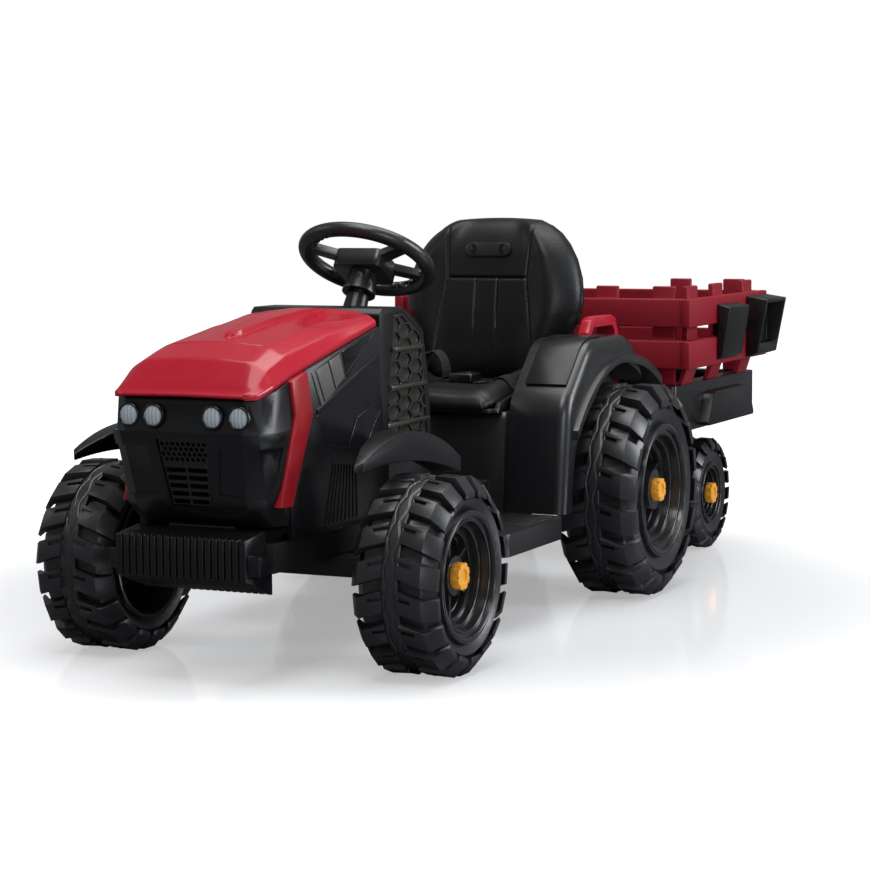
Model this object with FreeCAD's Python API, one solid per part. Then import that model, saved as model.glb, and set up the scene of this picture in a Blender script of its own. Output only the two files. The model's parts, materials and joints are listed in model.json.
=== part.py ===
"""Ride-on toy tractor with its trailer, one STEP file for each piece.

The outlines are worked out from the front axle: +X is the tractor's left side,
+Y runs to the trailer, Z is up from the floor. Outline tables hold shares: along Y
of the wheelbase, across of the body's half width, up of its height. On export every piece moves along Y so that the whole set is centred.
"""
import math
import os

import FreeCAD
import Part

# Overall layout
wheelbase = 594.0
body_half = 95.0
body_high = 392.0
front_reach_share = 0.32828
rear_reach_share = 1.92761
trailer_axle_back_share = 1.71212

# Fits shared by every piece
seam = 0.3
running = 0.05
overrun = 20.0

corner_reach_share = 0.49

# Wheels: tyre radius, width, outer face, bead radius, axle radius, cap set-back
front_tyre_radius = 109.0
front_tyre_width = 100.0
front_tyre_outer = 251.0
front_bead = 72.7
front_axle_radius = 5.0
front_cap_set = -7.0
rear_tyre_radius = 137.0
rear_tyre_width = 108.0
rear_tyre_outer = 262.0
rear_bead = 87.0
rear_axle_radius = 8.0
rear_cap_set = -3.0
trailer_tyre_radius = 81.0
trailer_tyre_width = 60.0
trailer_tyre_outer = 186.0
trailer_bead = 44.8
trailer_axle_radius = 5.0
trailer_cap_set = 4.0
tyre_wall = 5.0
rim_set_back = 4.0
rim_wall = 4.0
cap_radius = 15.0
cap_thick = 10.0
cap_notch = 2.2
cap_dimple_depth = 2.0
cap_dimple_radius = 8.0
axle_end_gap = 1.0
lug_count = 18
rib_count = 6
notch_count = 8
rib_thick = 5.0
lug_depth_share = 0.085
band_drop_share = 0.028
band_half_share = 0.13
lug_width_share = 0.215
lug_skew_share = 0.04
lug_inner_share = 0.17
lug_foot_share = 0.80
lug_side_share = 0.07
shoulder_share = 0.26
bead_set_share = 0.12
waist_share = 0.45
rim_lip_share = 0.955
rim_step_shares = [(0.91, 0.04), (0.83, 0.14), (0.745, 0.22), (0.65, 0.30), (0.62, 0.38)]
rim_back_share = 0.91
rim_back_depth_share = 0.14
hub_share = 0.30
rib_height_share = 0.14
rib_reach_share = 0.65

# Chassis
rail_bottom = 124.0
rail_top = 155.0
rail_inner = 70.0
rail_outer = 88.0
rail_front_share = 0.25253
rail_rear_share = 1.17845
cross_thick = 6.0
cross_width = 24.0
battery_cross_back_share = 0.72391
battery_cross_end_share = 0.89226
rear_cross_back_share = 1.07744
shaft_cross_front = 62.0
shaft_cross_back = 108.0
shaft_cross_low = 140.0
nose_post_half = 40.0
nose_post_deep = 34.0
chin_height = 172.0
tongue_half = 26.0
tongue_top = 142.0
tongue_bottom = 136.0
tongue_rear_share = 1.26599
hitch_back_share = 1.23401
hitch_radius = 6.0
hitch_head = 11.0
hitch_head_thick = 5.0
hitch_low = 128.0
hitch_high = 164.0

# Front axle and steering gear
beam_bottom = 102.0
beam_half_deep = 16.0
beam_end = 124.0
kingpin_offset = 132.0
kingpin_radius = 6.0
boss_radius = 14.0
boss_low = 98.0
boss_high = 128.0
knuckle_arm_thick = 5.7
knuckle_plate_thick = 6.7
knuckle_half_deep = 16.0
arm_length = 45.0
arm_half = 9.0
link_pin_radius = 4.0
link_thick = 5.0
link_half = 9.0
link_slot_play = 1.2
link_slot_travel = 2.8
link_plate_half = 15.0
link_plate_back = 97.0
crank_slot_front = 63.0
crank_slot_back = 88.0
crank_slot_play = 1.0
wheel_lean_deg = 30.0
steer_centre_back = 249.0
steer_centre_high = 444.0
steer_ring = 75.5
steer_tube = 9.0
shaft_radius = 8.0
shaft_length = 366.0
crank_radius = 24.0
crank_thick = 6.0
crank_hub = 12.0
crank_eye = 7.5
crank_pin_long = 24.0
hub_half_wide = 32.0
hub_half_long = 26.0
hub_low = 20.0
hub_high = 2.0
hub_round = 9.0
collar_radius = 17.5
collar_flare = 20.5
collar_long = 26.0
horn_radius = 14.0
horn_travel = 3.0
horn_stem = 6.0
horn_stem_long = 8.0
horn_proud = 5.0
horn_pocket = 7.0
spoke_half = 9.0
spoke_turns_deg = [-27, 34, 146, 207]
spoke_tip_half = 7.0
spoke_thick = 9.0
bump_radius = 4.0
bump_step_deg = 9.0
bump_starts_deg = [30, 210]
bump_count = 7

# Rear drive
gearbox_outer = 108.0
gearbox_front_share = 0.93603
gearbox_back_share = 1.10438
gearbox_low = 112.0
gearbox_high = 198.0
gearbox_round = 14.0
gear_boss = 18.0
gear_boss_outer = 150.0
motor_radius = 18.0
motor_long = 50.0
motor_back_share = 1.06397
motor_high = 174.0
battery_half = 48.0
battery_front_share = 0.73401
battery_back_share = 0.88215
battery_high = 216.0
battery_round = 5.0

# Nose, hood and side panels
skin = 4.0
hood_rear_share = 0.18855
hood_lip_rise = 5.0
hood_corner_share = 0.14815
hood_corner_wide_share = 0.61053
hood_shares = [
    (-0.31650, 0.81053, 0.79082, 0.77895, 0.80357, 0.80612),
    (-0.31145, 0.87368, 0.79082, 0.77895, 0.80995, 0.81250),
    (-0.29966, 0.91579, 0.79082, 0.75789, 0.82143, 0.82653),
    (-0.25589, 0.95789, 0.81046, 0.68421, 0.88520, 0.89286),
    (-0.18519, 0.95789, 0.84184, 0.65263, 0.92092, 0.93112),
    (-0.02020, 0.95789, 0.89668, 0.63158, 0.95918, 0.96939),
    (0.12626, 0.95789, 0.94464, 0.63158, 0.97959, 0.98980),
    (0.18855, 0.94737, 0.96505, 0.61053, 0.98980, 0.99745),
]
spine_shares = [(-0.12458, 0.09474, 0.94770), (-0.02020, 0.20000, 0.97449), (0.12626, 0.22105, 0.99745),
                (0.15488, 0.18947, 0.99872)]
spine_deep = 8.0
hood_crown_half = 26.0
bulge_wide_share = 0.35
bulge_high_share = 0.62
spine_top_share = 0.75
nose_low_shares = [
    (0.43929, 0.61053, -0.25253, 0.84211, -0.23569, 0.97895, -0.20539),
    (0.49490, 0.71579, -0.28620, 0.90526, -0.26599, 0.98947, -0.23232),
    (0.69898, 0.77895, -0.32155, 0.93684, -0.30471, 1.00000, -0.26936),
]
nose_high_shares = [
    (0.69898, 0.75789, -0.31145, 0.92632, -0.29293, 0.99474, -0.26263),
    (0.85714, 0.75789, -0.29966, 0.91579, -0.28283, 0.99474, -0.25253),
]
nose_back_share = -0.10101
nose_edge_shares = [(-0.20875, 0.86735), (-0.20875, 0.83418), (-0.19360, 0.73469), (-0.25421, 0.49490),
                    (-0.20875, 0.48980),
                    (-0.20875, 0.38265)]
nose_brow_shares = [(-0.29966, 0.79082), (-0.25589, 0.81046), (-0.18519, 0.84184)]
grille_half_top = 31.0
grille_half_low = 24.0
grille_top = 267.0
grille_low = 194.0
grille_set = 2.5
grille_thick = 6.0
grille_hex = 2.7
grille_hex_pitch = 6.4
grille_hex_rows = 4
grille_slat_rows = 5
grille_slat_pitch = 8.6
grille_slat_high = 5.0
grille_frame = 2.5
lamp_offsets_shares = [(0.37895, -0.31566), (0.70526, -0.31313)]
lamp_high = 291.0
lamp_radius = 11.0
lamp_long = 9.0
lamp_dome = 26.0
vent_deep = 2.4
vent_shares = [(0.38947, 0.53061), (1.15789, 0.51531), (1.15789, 0.65816), (0.47368, 0.65816)]
vent_edge_shares = [(-0.38721, 0.48469), (-0.27441, 0.48469), (-0.21212, 0.73469), (-0.38721, 0.73469)]
strip_inner = 88.0
strip_outer = 98.0
strip_rear_shares = [(-0.14815, 0.85408), (-0.12795, 0.73214), (-0.20875, 0.48980)]
panel_inner = 87.0
panel_outer = body_half
panel_foot_thick = 5.0
panel_rear_shares = [(0.14815, 0.95179), (0.18855, 0.89796)]
panel_front_low_share = -0.19865
brace_shares = [(-0.10438, 0.72959), (0.14815, 0.86224), (0.14815, 0.87755), (-0.10774, 0.74490)]
brace_proud = 1.6
gill_shares = [(-0.08418, 0.41582), (-0.04714, 0.58163), (0.04714, 0.41582), (0.04377, 0.56633)]
gill_count = 9
gill_wide = 3.4

# Dash, floor and seat tub
dash_half = 84.0
dash_wall = 5.0
dash_shares = [(0.18906, 0.39617), (0.18906, 0.98469), (0.20202, 1.00000), (0.28956, 1.00000),
               (0.38552, 0.92347), (0.40741, 0.76786),
               (0.42088, 0.62755), (0.42088, 0.39617)]
dash_round = 4.0
column_radius = 13.5
column_flare = 16.0
column_low = 92.0
column_high = 48.0
comb_shares = [(0.25589, 0.97959), (0.28956, 0.98214), (0.37205, 0.91582), (0.39394, 0.76531),
               (0.40741, 0.62755), (0.40741, 0.58163),
               (0.20539, 0.58163), (0.21212, 0.64286)]
comb_thick = 4.0
comb_hex = 8.4
comb_web = 2.4
comb_stretch_share = 2.0
comb_margin = 3.5
comb_bar_shares = [0.87500, 0.76276, 0.65306]
comb_bar_high = 6.0
comb_bar_proud = 2.0
comb_hex_deep = 2.6
tub_half = 115.0
tub_wall = 5.0
tub_top = 250.0
floor_half = 200.0
floor_front_share = 0.34175
floor_back_share = 0.66835
floor_low = 97.0
floor_skin = 5.0
tunnel_half = 95.0
tunnel_top = 164.0
tub_shares = [(0.66330, 0.31633), (0.67508, 0.61224), (0.68350, 0.63724), (1.11111, 0.63724),
              (1.16498, 0.54592), (1.16498, 0.31633)]
tub_tail = 157.0
tread_count = 7
tread_pitch = 12.0
tread_wide = 4.0
tread_high = 1.5
tread_inner = 118.0
tread_outer = 190.0
tread_front_share = 0.50505
pedal_offset = 150.0
pedal_half = 30.0
pedal_front_share = 0.38047
pedal_back_share = 0.49832
pedal_high = 20.0
pedal_thick = 6.0
pedal_pin = 4.0
pedal_ear = 5.0
pedal_lean_deg = 14.0
switch_half = 8.0
switch_long = 11.0
switch_pin = 2.5
switch_offset = 52.0
switch_share = 0.45
switch_deep = 9.0
switch_pin_share = 1.4

# Fenders, handles and weights
fender_edge_shares = [(-0.22054, 0.60714), (-0.00505, 0.67602), (0.25253, 0.52806)]
fender_thick = 5.0
fender_lip = 7.0
fender_skirt = 25.0
fender_lip_wide = 7.0
fender_outer = 180.0
fender_plan_shares = [(1.89474, -0.20202), (1.82105, -0.21717), (1.68421, -0.14815), (1.54737, -0.03367),
                      (1.36842, 0.07576), (1.15789, 0.13131), (1.00316, 0.13805), (1.00316, 0.18855),
                      (1.17895, 0.21549), (1.36842, 0.25084), (1.74737, 0.24916), (1.89474, 0.21044)]
pod_outer = 195.0
pod_shares = [(0.67003, 0.31633), (0.69949, 0.66837), (0.83333, 0.85969), (1.07744, 0.85969),
              (1.16162, 0.73980),
              (1.16162, 0.31633)]
pod_rounds = [0.0, 60.0, 60.0, 60.0, 40.0, 0.0]
pod_edge = 14.0
pod_wall = 6.0
arch_radius = 165.0
arch_inner = 150.0
flare_outer = 202.0
flare_shares = [(0.72727, 0.57908), (0.99495, 0.79082), (1.24916, 0.69643)]
flare_thick = 12.0
axle_port = 22.0
cover_thick = 3.2
cover_low = 284.0
cover_back = 551.0
cover_inner = 128.0
cover_outer = 184.0
grip_shares = [(0.93098, 0.76531), (0.93434, 0.87245), (0.95286, 0.91327), (0.97643, 0.92347),
               (1.07744, 0.92347), (1.10101, 0.91327),
               (1.12121, 0.86735), (1.12458, 0.76531), (1.10269, 0.76531), (1.09764, 0.86735),
               (1.08586, 0.88776), (0.97138, 0.88776),
               (0.95791, 0.86735), (0.95455, 0.76531)]
grip_inner = 153.0
grip_outer = 167.0
grip_round = 5.0
weight_half = 79.0
weight_shares = [(-0.32828, 0.41837), (-0.32828, 0.30867), (-0.23064, 0.25255), (-0.23064, 0.31531),
                 (-0.25303, 0.31531), (-0.25303, 0.43367)]
weight_count = 19
weight_gap = 1.8
weight_deep = 6.0
weight_foot = 3.0
hook_wide = 13.0
hook_shares = [(-0.31650, 0.32143), (-0.27609, 0.32143), (-0.27609, 0.35714), (-0.31650, 0.37755)]

# Seat
seat_front_share = 0.63973
seat_back_end_share = 1.08754
seat_half = 110.0
seat_pan_thick = 5.0
seat_wing = 6.0
seat_wing_shares = [(0.65993, 0.63776), (0.67340, 0.66837), (0.79125, 0.69388), (0.90909, 0.74490),
                    (1.01010, 0.78061), (1.08418, 0.78061),
                    (1.08418, 0.63776)]
back_shares = [(0.65051, 1.09474, 1.04714), (0.76531, 1.14737, 1.05051), (0.86735, 1.20000, 1.05724),
               (0.89796, 1.28421, 1.05976),
               (0.96939, 1.33684, 1.06566), (1.04592, 1.29474, 1.07374), (1.10969, 1.20526, 1.08047),
               (1.16071, 1.08421, 1.08586),
               (1.19898, 0.94737, 1.08990), (1.22449, 0.80000, 1.09259), (1.24235, 0.61053, 1.09444)]
back_thick = 14.0
back_round = 5.0
pad_shares = [(0.69388, 0.92632, 0.03571, 0.05102), (0.72959, 1.02105, 0.04592, 0.07398),
              (0.76531, 1.06316, 0.04847, 0.07908), (0.86735, 1.14737, 0.05102, 0.08163),
              (0.89796, 1.21053, 0.05102, 0.08291), (0.96939, 1.27368, 0.05102, 0.08418),
              (1.04592, 1.23158, 0.05102, 0.08418), (1.10969, 1.14211, 0.04847, 0.08163),
              (1.16071, 1.02105, 0.04592, 0.07653), (1.19898, 0.88421, 0.03827, 0.06378),
              (1.22449, 0.73684, 0.02806, 0.04592)]
cushion_shares = [(0.64478, 0.96842, 0.02296, 0.03827), (0.65993, 1.04211, 0.03061, 0.05357),
                  (0.72391, 1.07368, 0.03827, 0.06633),
                  (0.87542, 1.07368, 0.04082, 0.06633), (0.97980, 1.05263, 0.03571, 0.06122)]
channel_wide = 2.6
channel_deep = 5.0
channel_offsets_shares = [0.18947, 0.75789]
channel_low = 300.0
seam_high = 411.0
cushion_channel_share = 0.94276
strap_front_share = 0.77778
strap_wide = 25.0
strap_thick = 1.6
strap_reach = 98.0
strap_start = 17.0
buckle_half = 16.0
buckle_deep = 40.0
buckle_high = 8.0

# Trailer
bed_low = 190.0
bed_top = 256.0
bed_half = 206.0
bed_front_share = 1.31987
bed_back_share = 1.92424
bed_wall = 5.0
bed_floor = 6.0
rim_wide = 28.0
rim_deep = 6.0
bed_round = 8.0
guard_shares = [(1.47811, 0.49490), (1.52357, 0.61480), (1.79798, 0.61480), (1.84343, 0.49490)]
guard_proud = 16.0
guard_rounds = [4.0, 24.0, 24.0, 4.0]
tail_post_wide = 16.0
board_half = 226.0
board_thick = 12.0
post_thick = 8.0
post_top = 394.0
post_knee = 280.0
plank_rows_shares = [(0.71429, 0.81378), (0.86224, 0.96173)]
side_posts_shares = [1.36532, 1.55219, 1.78451]
side_post_wide = 45.0
side_board_front_share = 1.32323
side_board_back_share = 1.92256
end_posts_shares = [(0.84211, 1.18947), (1.72632, 2.08000)]
front_board_share = 1.33670
back_board_share = 1.89562
drawbar_half = 14.0
drawbar_eye = 18.0
drawbar_shares = [(1.27104, 0.36301), (1.39731, 0.43622), (1.78451, 0.43622), (1.78451, 0.48418),
                  (1.34343, 0.48418), (1.26263, 0.40051), (1.23401, 0.40051),
                  (1.23401, 0.36301)]
leg_inner = 92.0
leg_outer = 100.0
leg_shares = [(1.59933, 0.48418), (1.82492, 0.48418), (1.73737, 0.16837), (1.68687, 0.16837)]
leg_boss = 10.0
bracket_shares = [(1.52357, 1.67508, 0.72959, 0.93367, 2.58947, 2.47368),
                  (1.75084, 1.90909, 0.71939, 0.94898, 2.72632, 2.56842)]
bracket_wall = 5.0
bracket_back = 3.0

# Lengths that follow the wheelbase
front_reach = front_reach_share * wheelbase
rear_reach = rear_reach_share * wheelbase
trailer_axle_back = trailer_axle_back_share * wheelbase
rail_front = rail_front_share * wheelbase
rail_rear = rail_rear_share * wheelbase
battery_cross_back = battery_cross_back_share * wheelbase
battery_cross_end = battery_cross_end_share * wheelbase
rear_cross_back = rear_cross_back_share * wheelbase
tongue_rear = tongue_rear_share * wheelbase
hitch_back = hitch_back_share * wheelbase
gearbox_front = gearbox_front_share * wheelbase
gearbox_back = gearbox_back_share * wheelbase
motor_back = motor_back_share * wheelbase
battery_front = battery_front_share * wheelbase
battery_back = battery_back_share * wheelbase
hood_rear = hood_rear_share * wheelbase
floor_front = floor_front_share * wheelbase
floor_back = floor_back_share * wheelbase
tread_front = tread_front_share * wheelbase
pedal_front = pedal_front_share * wheelbase
pedal_back = pedal_back_share * wheelbase
seat_front = seat_front_share * wheelbase
seat_back_end = seat_back_end_share * wheelbase
cushion_channel = cushion_channel_share * wheelbase
strap_front = strap_front_share * wheelbase
bed_front = bed_front_share * wheelbase
bed_back = bed_back_share * wheelbase
side_board_front = side_board_front_share * wheelbase
side_board_back = side_board_back_share * wheelbase
front_board = front_board_share * wheelbase
back_board = back_board_share * wheelbase


def point(x, y, z):
    """Return a point in the working frame."""
    return FreeCAD.Vector(x, y, z)


def spread(shares, axes):
    """Scale a table of shares: Y by the wheelbase, X by the body's half width, Z by its height."""
    scale = {"x": body_half, "y": wheelbase, "z": body_high}
    return [tuple(value * scale[axis] for value, axis in zip(row, axes)) for row in shares]


def wire(points, radius=0.0):
    """Return a closed wire through points, with its corners rounded by one radius or one each."""
    if not radius:
        return Part.makePolygon(list(points) + [points[0]])
    count = len(points)
    radii = radius if isinstance(radius, list) else [radius] * count
    ends = []
    for index in range(count):
        corner = points[index]
        if not radii[index]:
            ends.append((corner, None, corner))
            continue
        before = (points[index - 1] - corner)
        after = (points[(index + 1) % count] - corner)
        reach = min(before.Length, after.Length) * corner_reach_share
        before.normalize()
        after.normalize()
        half = before.getAngle(after) / 2
        back = min(radii[index] / math.tan(half), reach)
        middle = (before + after).normalize()
        inset = back * math.tan(half)
        depth = back / math.cos(half) - inset
        ends.append((corner + before * back, corner + middle * depth, corner + after * back))
    edges = []
    for index in range(count):
        start, middle, end = ends[index]
        if middle:
            edges.append(Part.Arc(start, middle, end).toShape())
        follow = ends[(index + 1) % count][0]
        edges.append(Part.makeLine(end, follow))
    return Part.Wire(edges)


def prism_x(outline, low, high, radius=0.0):
    """Extrude an outline of (y, z) points along X."""
    face = Part.Face(wire([point(low, y, z) for y, z in outline], radius))
    return face.extrude(point(high - low, 0, 0))


def prism_y(outline, low, high, radius=0.0):
    """Extrude an outline of (x, z) points along Y."""
    face = Part.Face(wire([point(x, low, z) for x, z in outline], radius))
    return face.extrude(point(0, high - low, 0))


def prism_z(outline, low, high, radius=0.0):
    """Extrude an outline of (x, y) points along Z."""
    face = Part.Face(wire([point(x, y, low) for x, y in outline], radius))
    return face.extrude(point(0, 0, high - low))


def block(x0, x1, y0, y1, z0, z1):
    """Return a box between two corners."""
    return Part.makeBox(x1 - x0, y1 - y0, z1 - z0, point(x0, y0, z0))


def rod(start, end, radius):
    """Return a round bar between two points."""
    return Part.makeCylinder(radius, (end - start).Length, start, end - start)


def loft(sections, radius=0.0):
    """Return a ruled solid through closed sections."""
    return Part.makeLoft([wire(section, radius) for section in sections], True, True)


def spin_x(outline, back, high):
    """Revolve an outline of (x, radius) points about the X line at (back, high)."""
    face = Part.Face(wire([point(x, back, high + r) for x, r in outline]))
    return face.revolve(point(0, back, high), point(1, 0, 0), 360)


def other_side(shape):
    """Mirror a piece to the other side of the tractor."""
    return shape.mirror(point(0, 0, 0), point(1, 0, 0))


def joined(first, *rest):
    """Fuse solids into one piece and merge its flat faces."""
    return first.fuse(list(rest)).removeSplitter()


def both(shape):
    """Return a piece together with its mirror image."""
    return Part.makeCompound([shape, other_side(shape)])


parts = {}

# Wheels


def tyre(radius, width, outer, bead):
    """Return a hollow lugged tyre about the X axis, a lug centred at the bottom."""
    mid = outer - width / 2
    half = width / 2
    side = half * (1 - lug_side_share)
    base = radius * (1 - lug_depth_share)
    band = half * band_half_share
    crown = radius * (1 - band_drop_share)
    shoulder = half * shoulder_share
    bead_set = half * bead_set_share
    waist = bead + (base - bead) * waist_share
    skin = [(side - bead_set, bead), (side, waist), (side - shoulder, base), (band, base), (band, crown)]
    hollow = [(side - bead_set - tyre_wall, bead), (side - tyre_wall, waist),
              (side - shoulder - tyre_wall, base - tyre_wall)]
    outline = [(mid + x, r) for x, r in skin]
    outline += [(mid - x, r) for x, r in reversed(skin)]
    outline += [(mid - x, r) for x, r in hollow]
    outline += [(mid + x, r) for x, r in reversed(hollow)]
    body = spin_x(outline, 0, 0)
    wide = radius * lug_width_share / 2
    skew = radius * lug_skew_share
    root = base - tyre_wall / 2
    sections = [
        (half * lug_inner_share, -skew, wide, root, radius),
        (half - shoulder, skew, wide, root, radius),
        (half, skew + skew / 2, wide, radius * lug_foot_share, crown - shoulder),
    ]
    rows = []
    for x, turn, reach, low, high in sections:
        corners = [(turn - reach, low), (turn + reach, low), (turn + reach, high), (turn - reach, high)]
        rows.append([point(mid + x, t, -r) for t, r in corners])
    lug = loft(rows).cut(spin_x([(mid - half, 0), (mid + half, 0), (mid + side - tyre_wall / 2, waist),
                                 (mid - half, waist)], 0, 0))
    twin = lug.mirror(point(mid, 0, 0), point(1, 0, 0))
    lugs = []
    for index in range(lug_count):
        for piece in (lug, twin):
            copy = piece.copy()
            copy.rotate(point(0, 0, 0), point(1, 0, 0), 360 * index / lug_count)
            lugs.append(copy)
    return body.fuse(lugs)


def rim(width, outer, bead, bore, inner, cap_set):
    """Return a stepped dish wheel about the X axis with its hub and ribs."""
    face = outer - rim_set_back
    edge = bead - seam
    hub = bead * hub_share
    hub_end = face + cap_set - cap_thick
    back = outer - width + rim_set_back
    outline = [(face, edge), (face, bead * rim_lip_share)]
    plane = face
    for ring, depth in rim_step_shares:
        outline.append((plane, bead * ring))
        plane = face - width * depth
        outline.append((plane, bead * ring))
    outline += [(plane, hub), (hub_end, hub), (hub_end, bore), (inner, bore), (inner, hub)]
    outline += [(plane - rim_wall, hub), (plane - rim_wall, bead * rim_step_shares[-1][0])]
    outline += [(face - width * rim_back_depth_share - rim_wall, bead * rim_back_share)]
    outline += [(back, edge - rim_wall), (back, edge)]
    dish = spin_x(outline, 0, 0)
    reach = bead * rib_reach_share
    high = min(plane + width * rib_height_share, hub_end)
    ribs = []
    for index in range(rib_count):
        rib = block(plane - rim_wall / 2, high, -rib_thick / 2, rib_thick / 2, hub - rim_wall, reach)
        rib.rotate(point(0, 0, 0), point(1, 0, 0), 360 * index / rib_count)
        ribs.append(rib)
    return dish.fuse(ribs).removeSplitter()


def cap(outer, cap_set):
    """Return the notched disc that closes the hub."""
    start = outer - rim_set_back + cap_set - cap_thick
    end = start + cap_thick
    disc = rod(point(start, 0, 0), point(end, 0, 0), cap_radius)
    cuts = [rod(point(end - cap_dimple_depth, 0, 0), point(end + overrun, 0, 0), cap_dimple_radius)]
    for index in range(notch_count):
        cut = rod(point(start + cap_thick / 2, 0, cap_radius), point(end + overrun, 0, cap_radius),
                  cap_notch)
        cut.rotate(point(0, 0, 0), point(1, 0, 0), 360 * index / notch_count)
        cuts.append(cut)
    return disc.cut(cuts)


knuckle_face = kingpin_offset + boss_radius + seam + knuckle_plate_thick
wheels = {
    "front": (0.0, front_tyre_radius, front_tyre_width, front_tyre_outer, front_bead, front_axle_radius,
              knuckle_face + seam, front_cap_set),
    "rear": (wheelbase, rear_tyre_radius, rear_tyre_width, rear_tyre_outer, rear_bead, rear_axle_radius,
             gear_boss_outer + seam, rear_cap_set),
    "trailer": (trailer_axle_back, trailer_tyre_radius, trailer_tyre_width, trailer_tyre_outer,
                trailer_bead,
                trailer_axle_radius, trailer_tyre_outer - trailer_tyre_width, trailer_cap_set),
}
axle_end = {}
for name, (back, radius, width, outer, bead, axle, inner, cap_set) in wheels.items():
    pieces = {
        "tyre": tyre(radius, width, outer, bead),
        "rim": rim(width, outer, bead, axle + running, inner, cap_set),
        "cap": cap(outer, cap_set),
    }
    axle_end[name] = outer - rim_set_back + cap_set - cap_thick - axle_end_gap
    for kind, piece in pieces.items():
        piece.translate(point(0, back, radius))
        parts[name + "_" + kind + "_left"] = piece
        parts[name + "_" + kind + "_right"] = other_side(piece)

# Chassis: two rails, cross members, the shaft bearing, nose post and towing tongue
rail = block(rail_inner, rail_outer, -rail_front, rail_rear, rail_bottom, rail_top)
pocket = block(rail_inner - overrun, rail_outer - cross_thick, -rail_front + cross_width,
               rail_rear - cross_width,
               rail_bottom + cross_thick, rail_top - cross_thick)
rail = rail.cut(pocket)
steer_axis = point(0, math.sin(math.radians(wheel_lean_deg)), math.cos(math.radians(wheel_lean_deg)))
steer_down = point(0, math.cos(math.radians(wheel_lean_deg)), -math.sin(math.radians(wheel_lean_deg)))
steer_centre = point(0, steer_centre_back, steer_centre_high)
shaft_foot = steer_centre - steer_axis * shaft_length
cross = [
    block(-rail_inner, rail_inner, -rail_front, -rail_front + cross_width, rail_bottom, rail_top),
    block(-rail_inner, rail_inner, shaft_cross_front, shaft_cross_back, shaft_cross_low, rail_top),
    block(-rail_inner, rail_inner, battery_cross_back, battery_cross_end, rail_top - cross_thick,
          rail_top),
    block(-rail_inner, rail_inner, rear_cross_back, rail_rear, rail_bottom, rail_top),
    block(-tongue_half, tongue_half, rail_rear - overrun, tongue_rear, tongue_bottom, tongue_top),
    block(-nose_post_half, nose_post_half, -rail_front, -rail_front + nose_post_deep,
          rail_top - cross_thick,
          chin_height),
]
frame = joined(rail, other_side(rail), *cross)
frame = frame.cut([
    rod(shaft_foot, steer_centre, shaft_radius + running),
    rod(point(-rear_tyre_outer, wheelbase, rear_tyre_radius),
        point(rear_tyre_outer, wheelbase, rear_tyre_radius),
        rear_axle_radius + running),
    rod(point(0, hitch_back, hitch_low), point(0, hitch_back, hitch_high), hitch_radius + running),
])
parts["chassis_frame"] = frame

parts["rear_axle"] = rod(point(-axle_end["rear"], wheelbase, rear_tyre_radius),
                         point(axle_end["rear"], wheelbase, rear_tyre_radius), rear_axle_radius)
pin = rod(point(0, hitch_back, hitch_low), point(0, hitch_back, hitch_high), hitch_radius)
pin_head = rod(point(0, hitch_back, hitch_high - hitch_head_thick), point(0, hitch_back, hitch_high),
               hitch_head)
parts["hitch_pin"] = joined(pin, pin_head)

# Front axle beam with its kingpin bosses
beam = block(-beam_end, beam_end, -beam_half_deep, beam_half_deep, beam_bottom, rail_bottom)
boss = rod(point(kingpin_offset, 0, boss_low), point(kingpin_offset, 0, boss_high), boss_radius)
beam = joined(beam, boss, other_side(boss))
bore = rod(point(kingpin_offset, 0, boss_low - overrun), point(kingpin_offset, 0, boss_high + overrun),
           kingpin_radius + running)
parts["front_axle_beam"] = beam.cut([bore, other_side(bore)])

# Steering knuckle: two arms and a plate round the boss, the stub axle and the link arm
knuckle_low = boss_low - seam - knuckle_arm_thick
knuckle_high = boss_high + seam + knuckle_arm_thick
plate_inner = knuckle_face - knuckle_plate_thick
arms = []
for low in (knuckle_low, boss_high + seam):
    arms.append(block(kingpin_offset, plate_inner, -knuckle_half_deep, knuckle_half_deep, low,
                      low + knuckle_arm_thick))
    arms.append(rod(point(kingpin_offset, 0, low), point(kingpin_offset, 0, low + knuckle_arm_thick),
                    knuckle_half_deep))
link_arm = block(kingpin_offset - arm_half, kingpin_offset + arm_half, 0, arm_length, knuckle_low,
                 knuckle_low + knuckle_arm_thick)
link_eye = rod(point(kingpin_offset, arm_length, knuckle_low),
               point(kingpin_offset, arm_length, knuckle_low + knuckle_arm_thick), arm_half)
link_low = knuckle_low + knuckle_arm_thick + seam
link_pin = rod(point(kingpin_offset, arm_length, knuckle_low),
               point(kingpin_offset, arm_length, link_low + link_thick + seam * 2), link_pin_radius)
kingpin = rod(point(kingpin_offset, 0, knuckle_low), point(kingpin_offset, 0, knuckle_high),
              kingpin_radius)
plate = block(plate_inner, knuckle_face, -knuckle_half_deep, knuckle_half_deep, knuckle_low, knuckle_high)
stub = rod(point(plate_inner, 0, front_tyre_radius), point(axle_end["front"], 0, front_tyre_radius),
           front_axle_radius)
knuckle = joined(kingpin, plate, stub, link_arm, link_eye, link_pin, *arms)
parts["knuckle_left"] = knuckle
parts["knuckle_right"] = other_side(knuckle)

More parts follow.
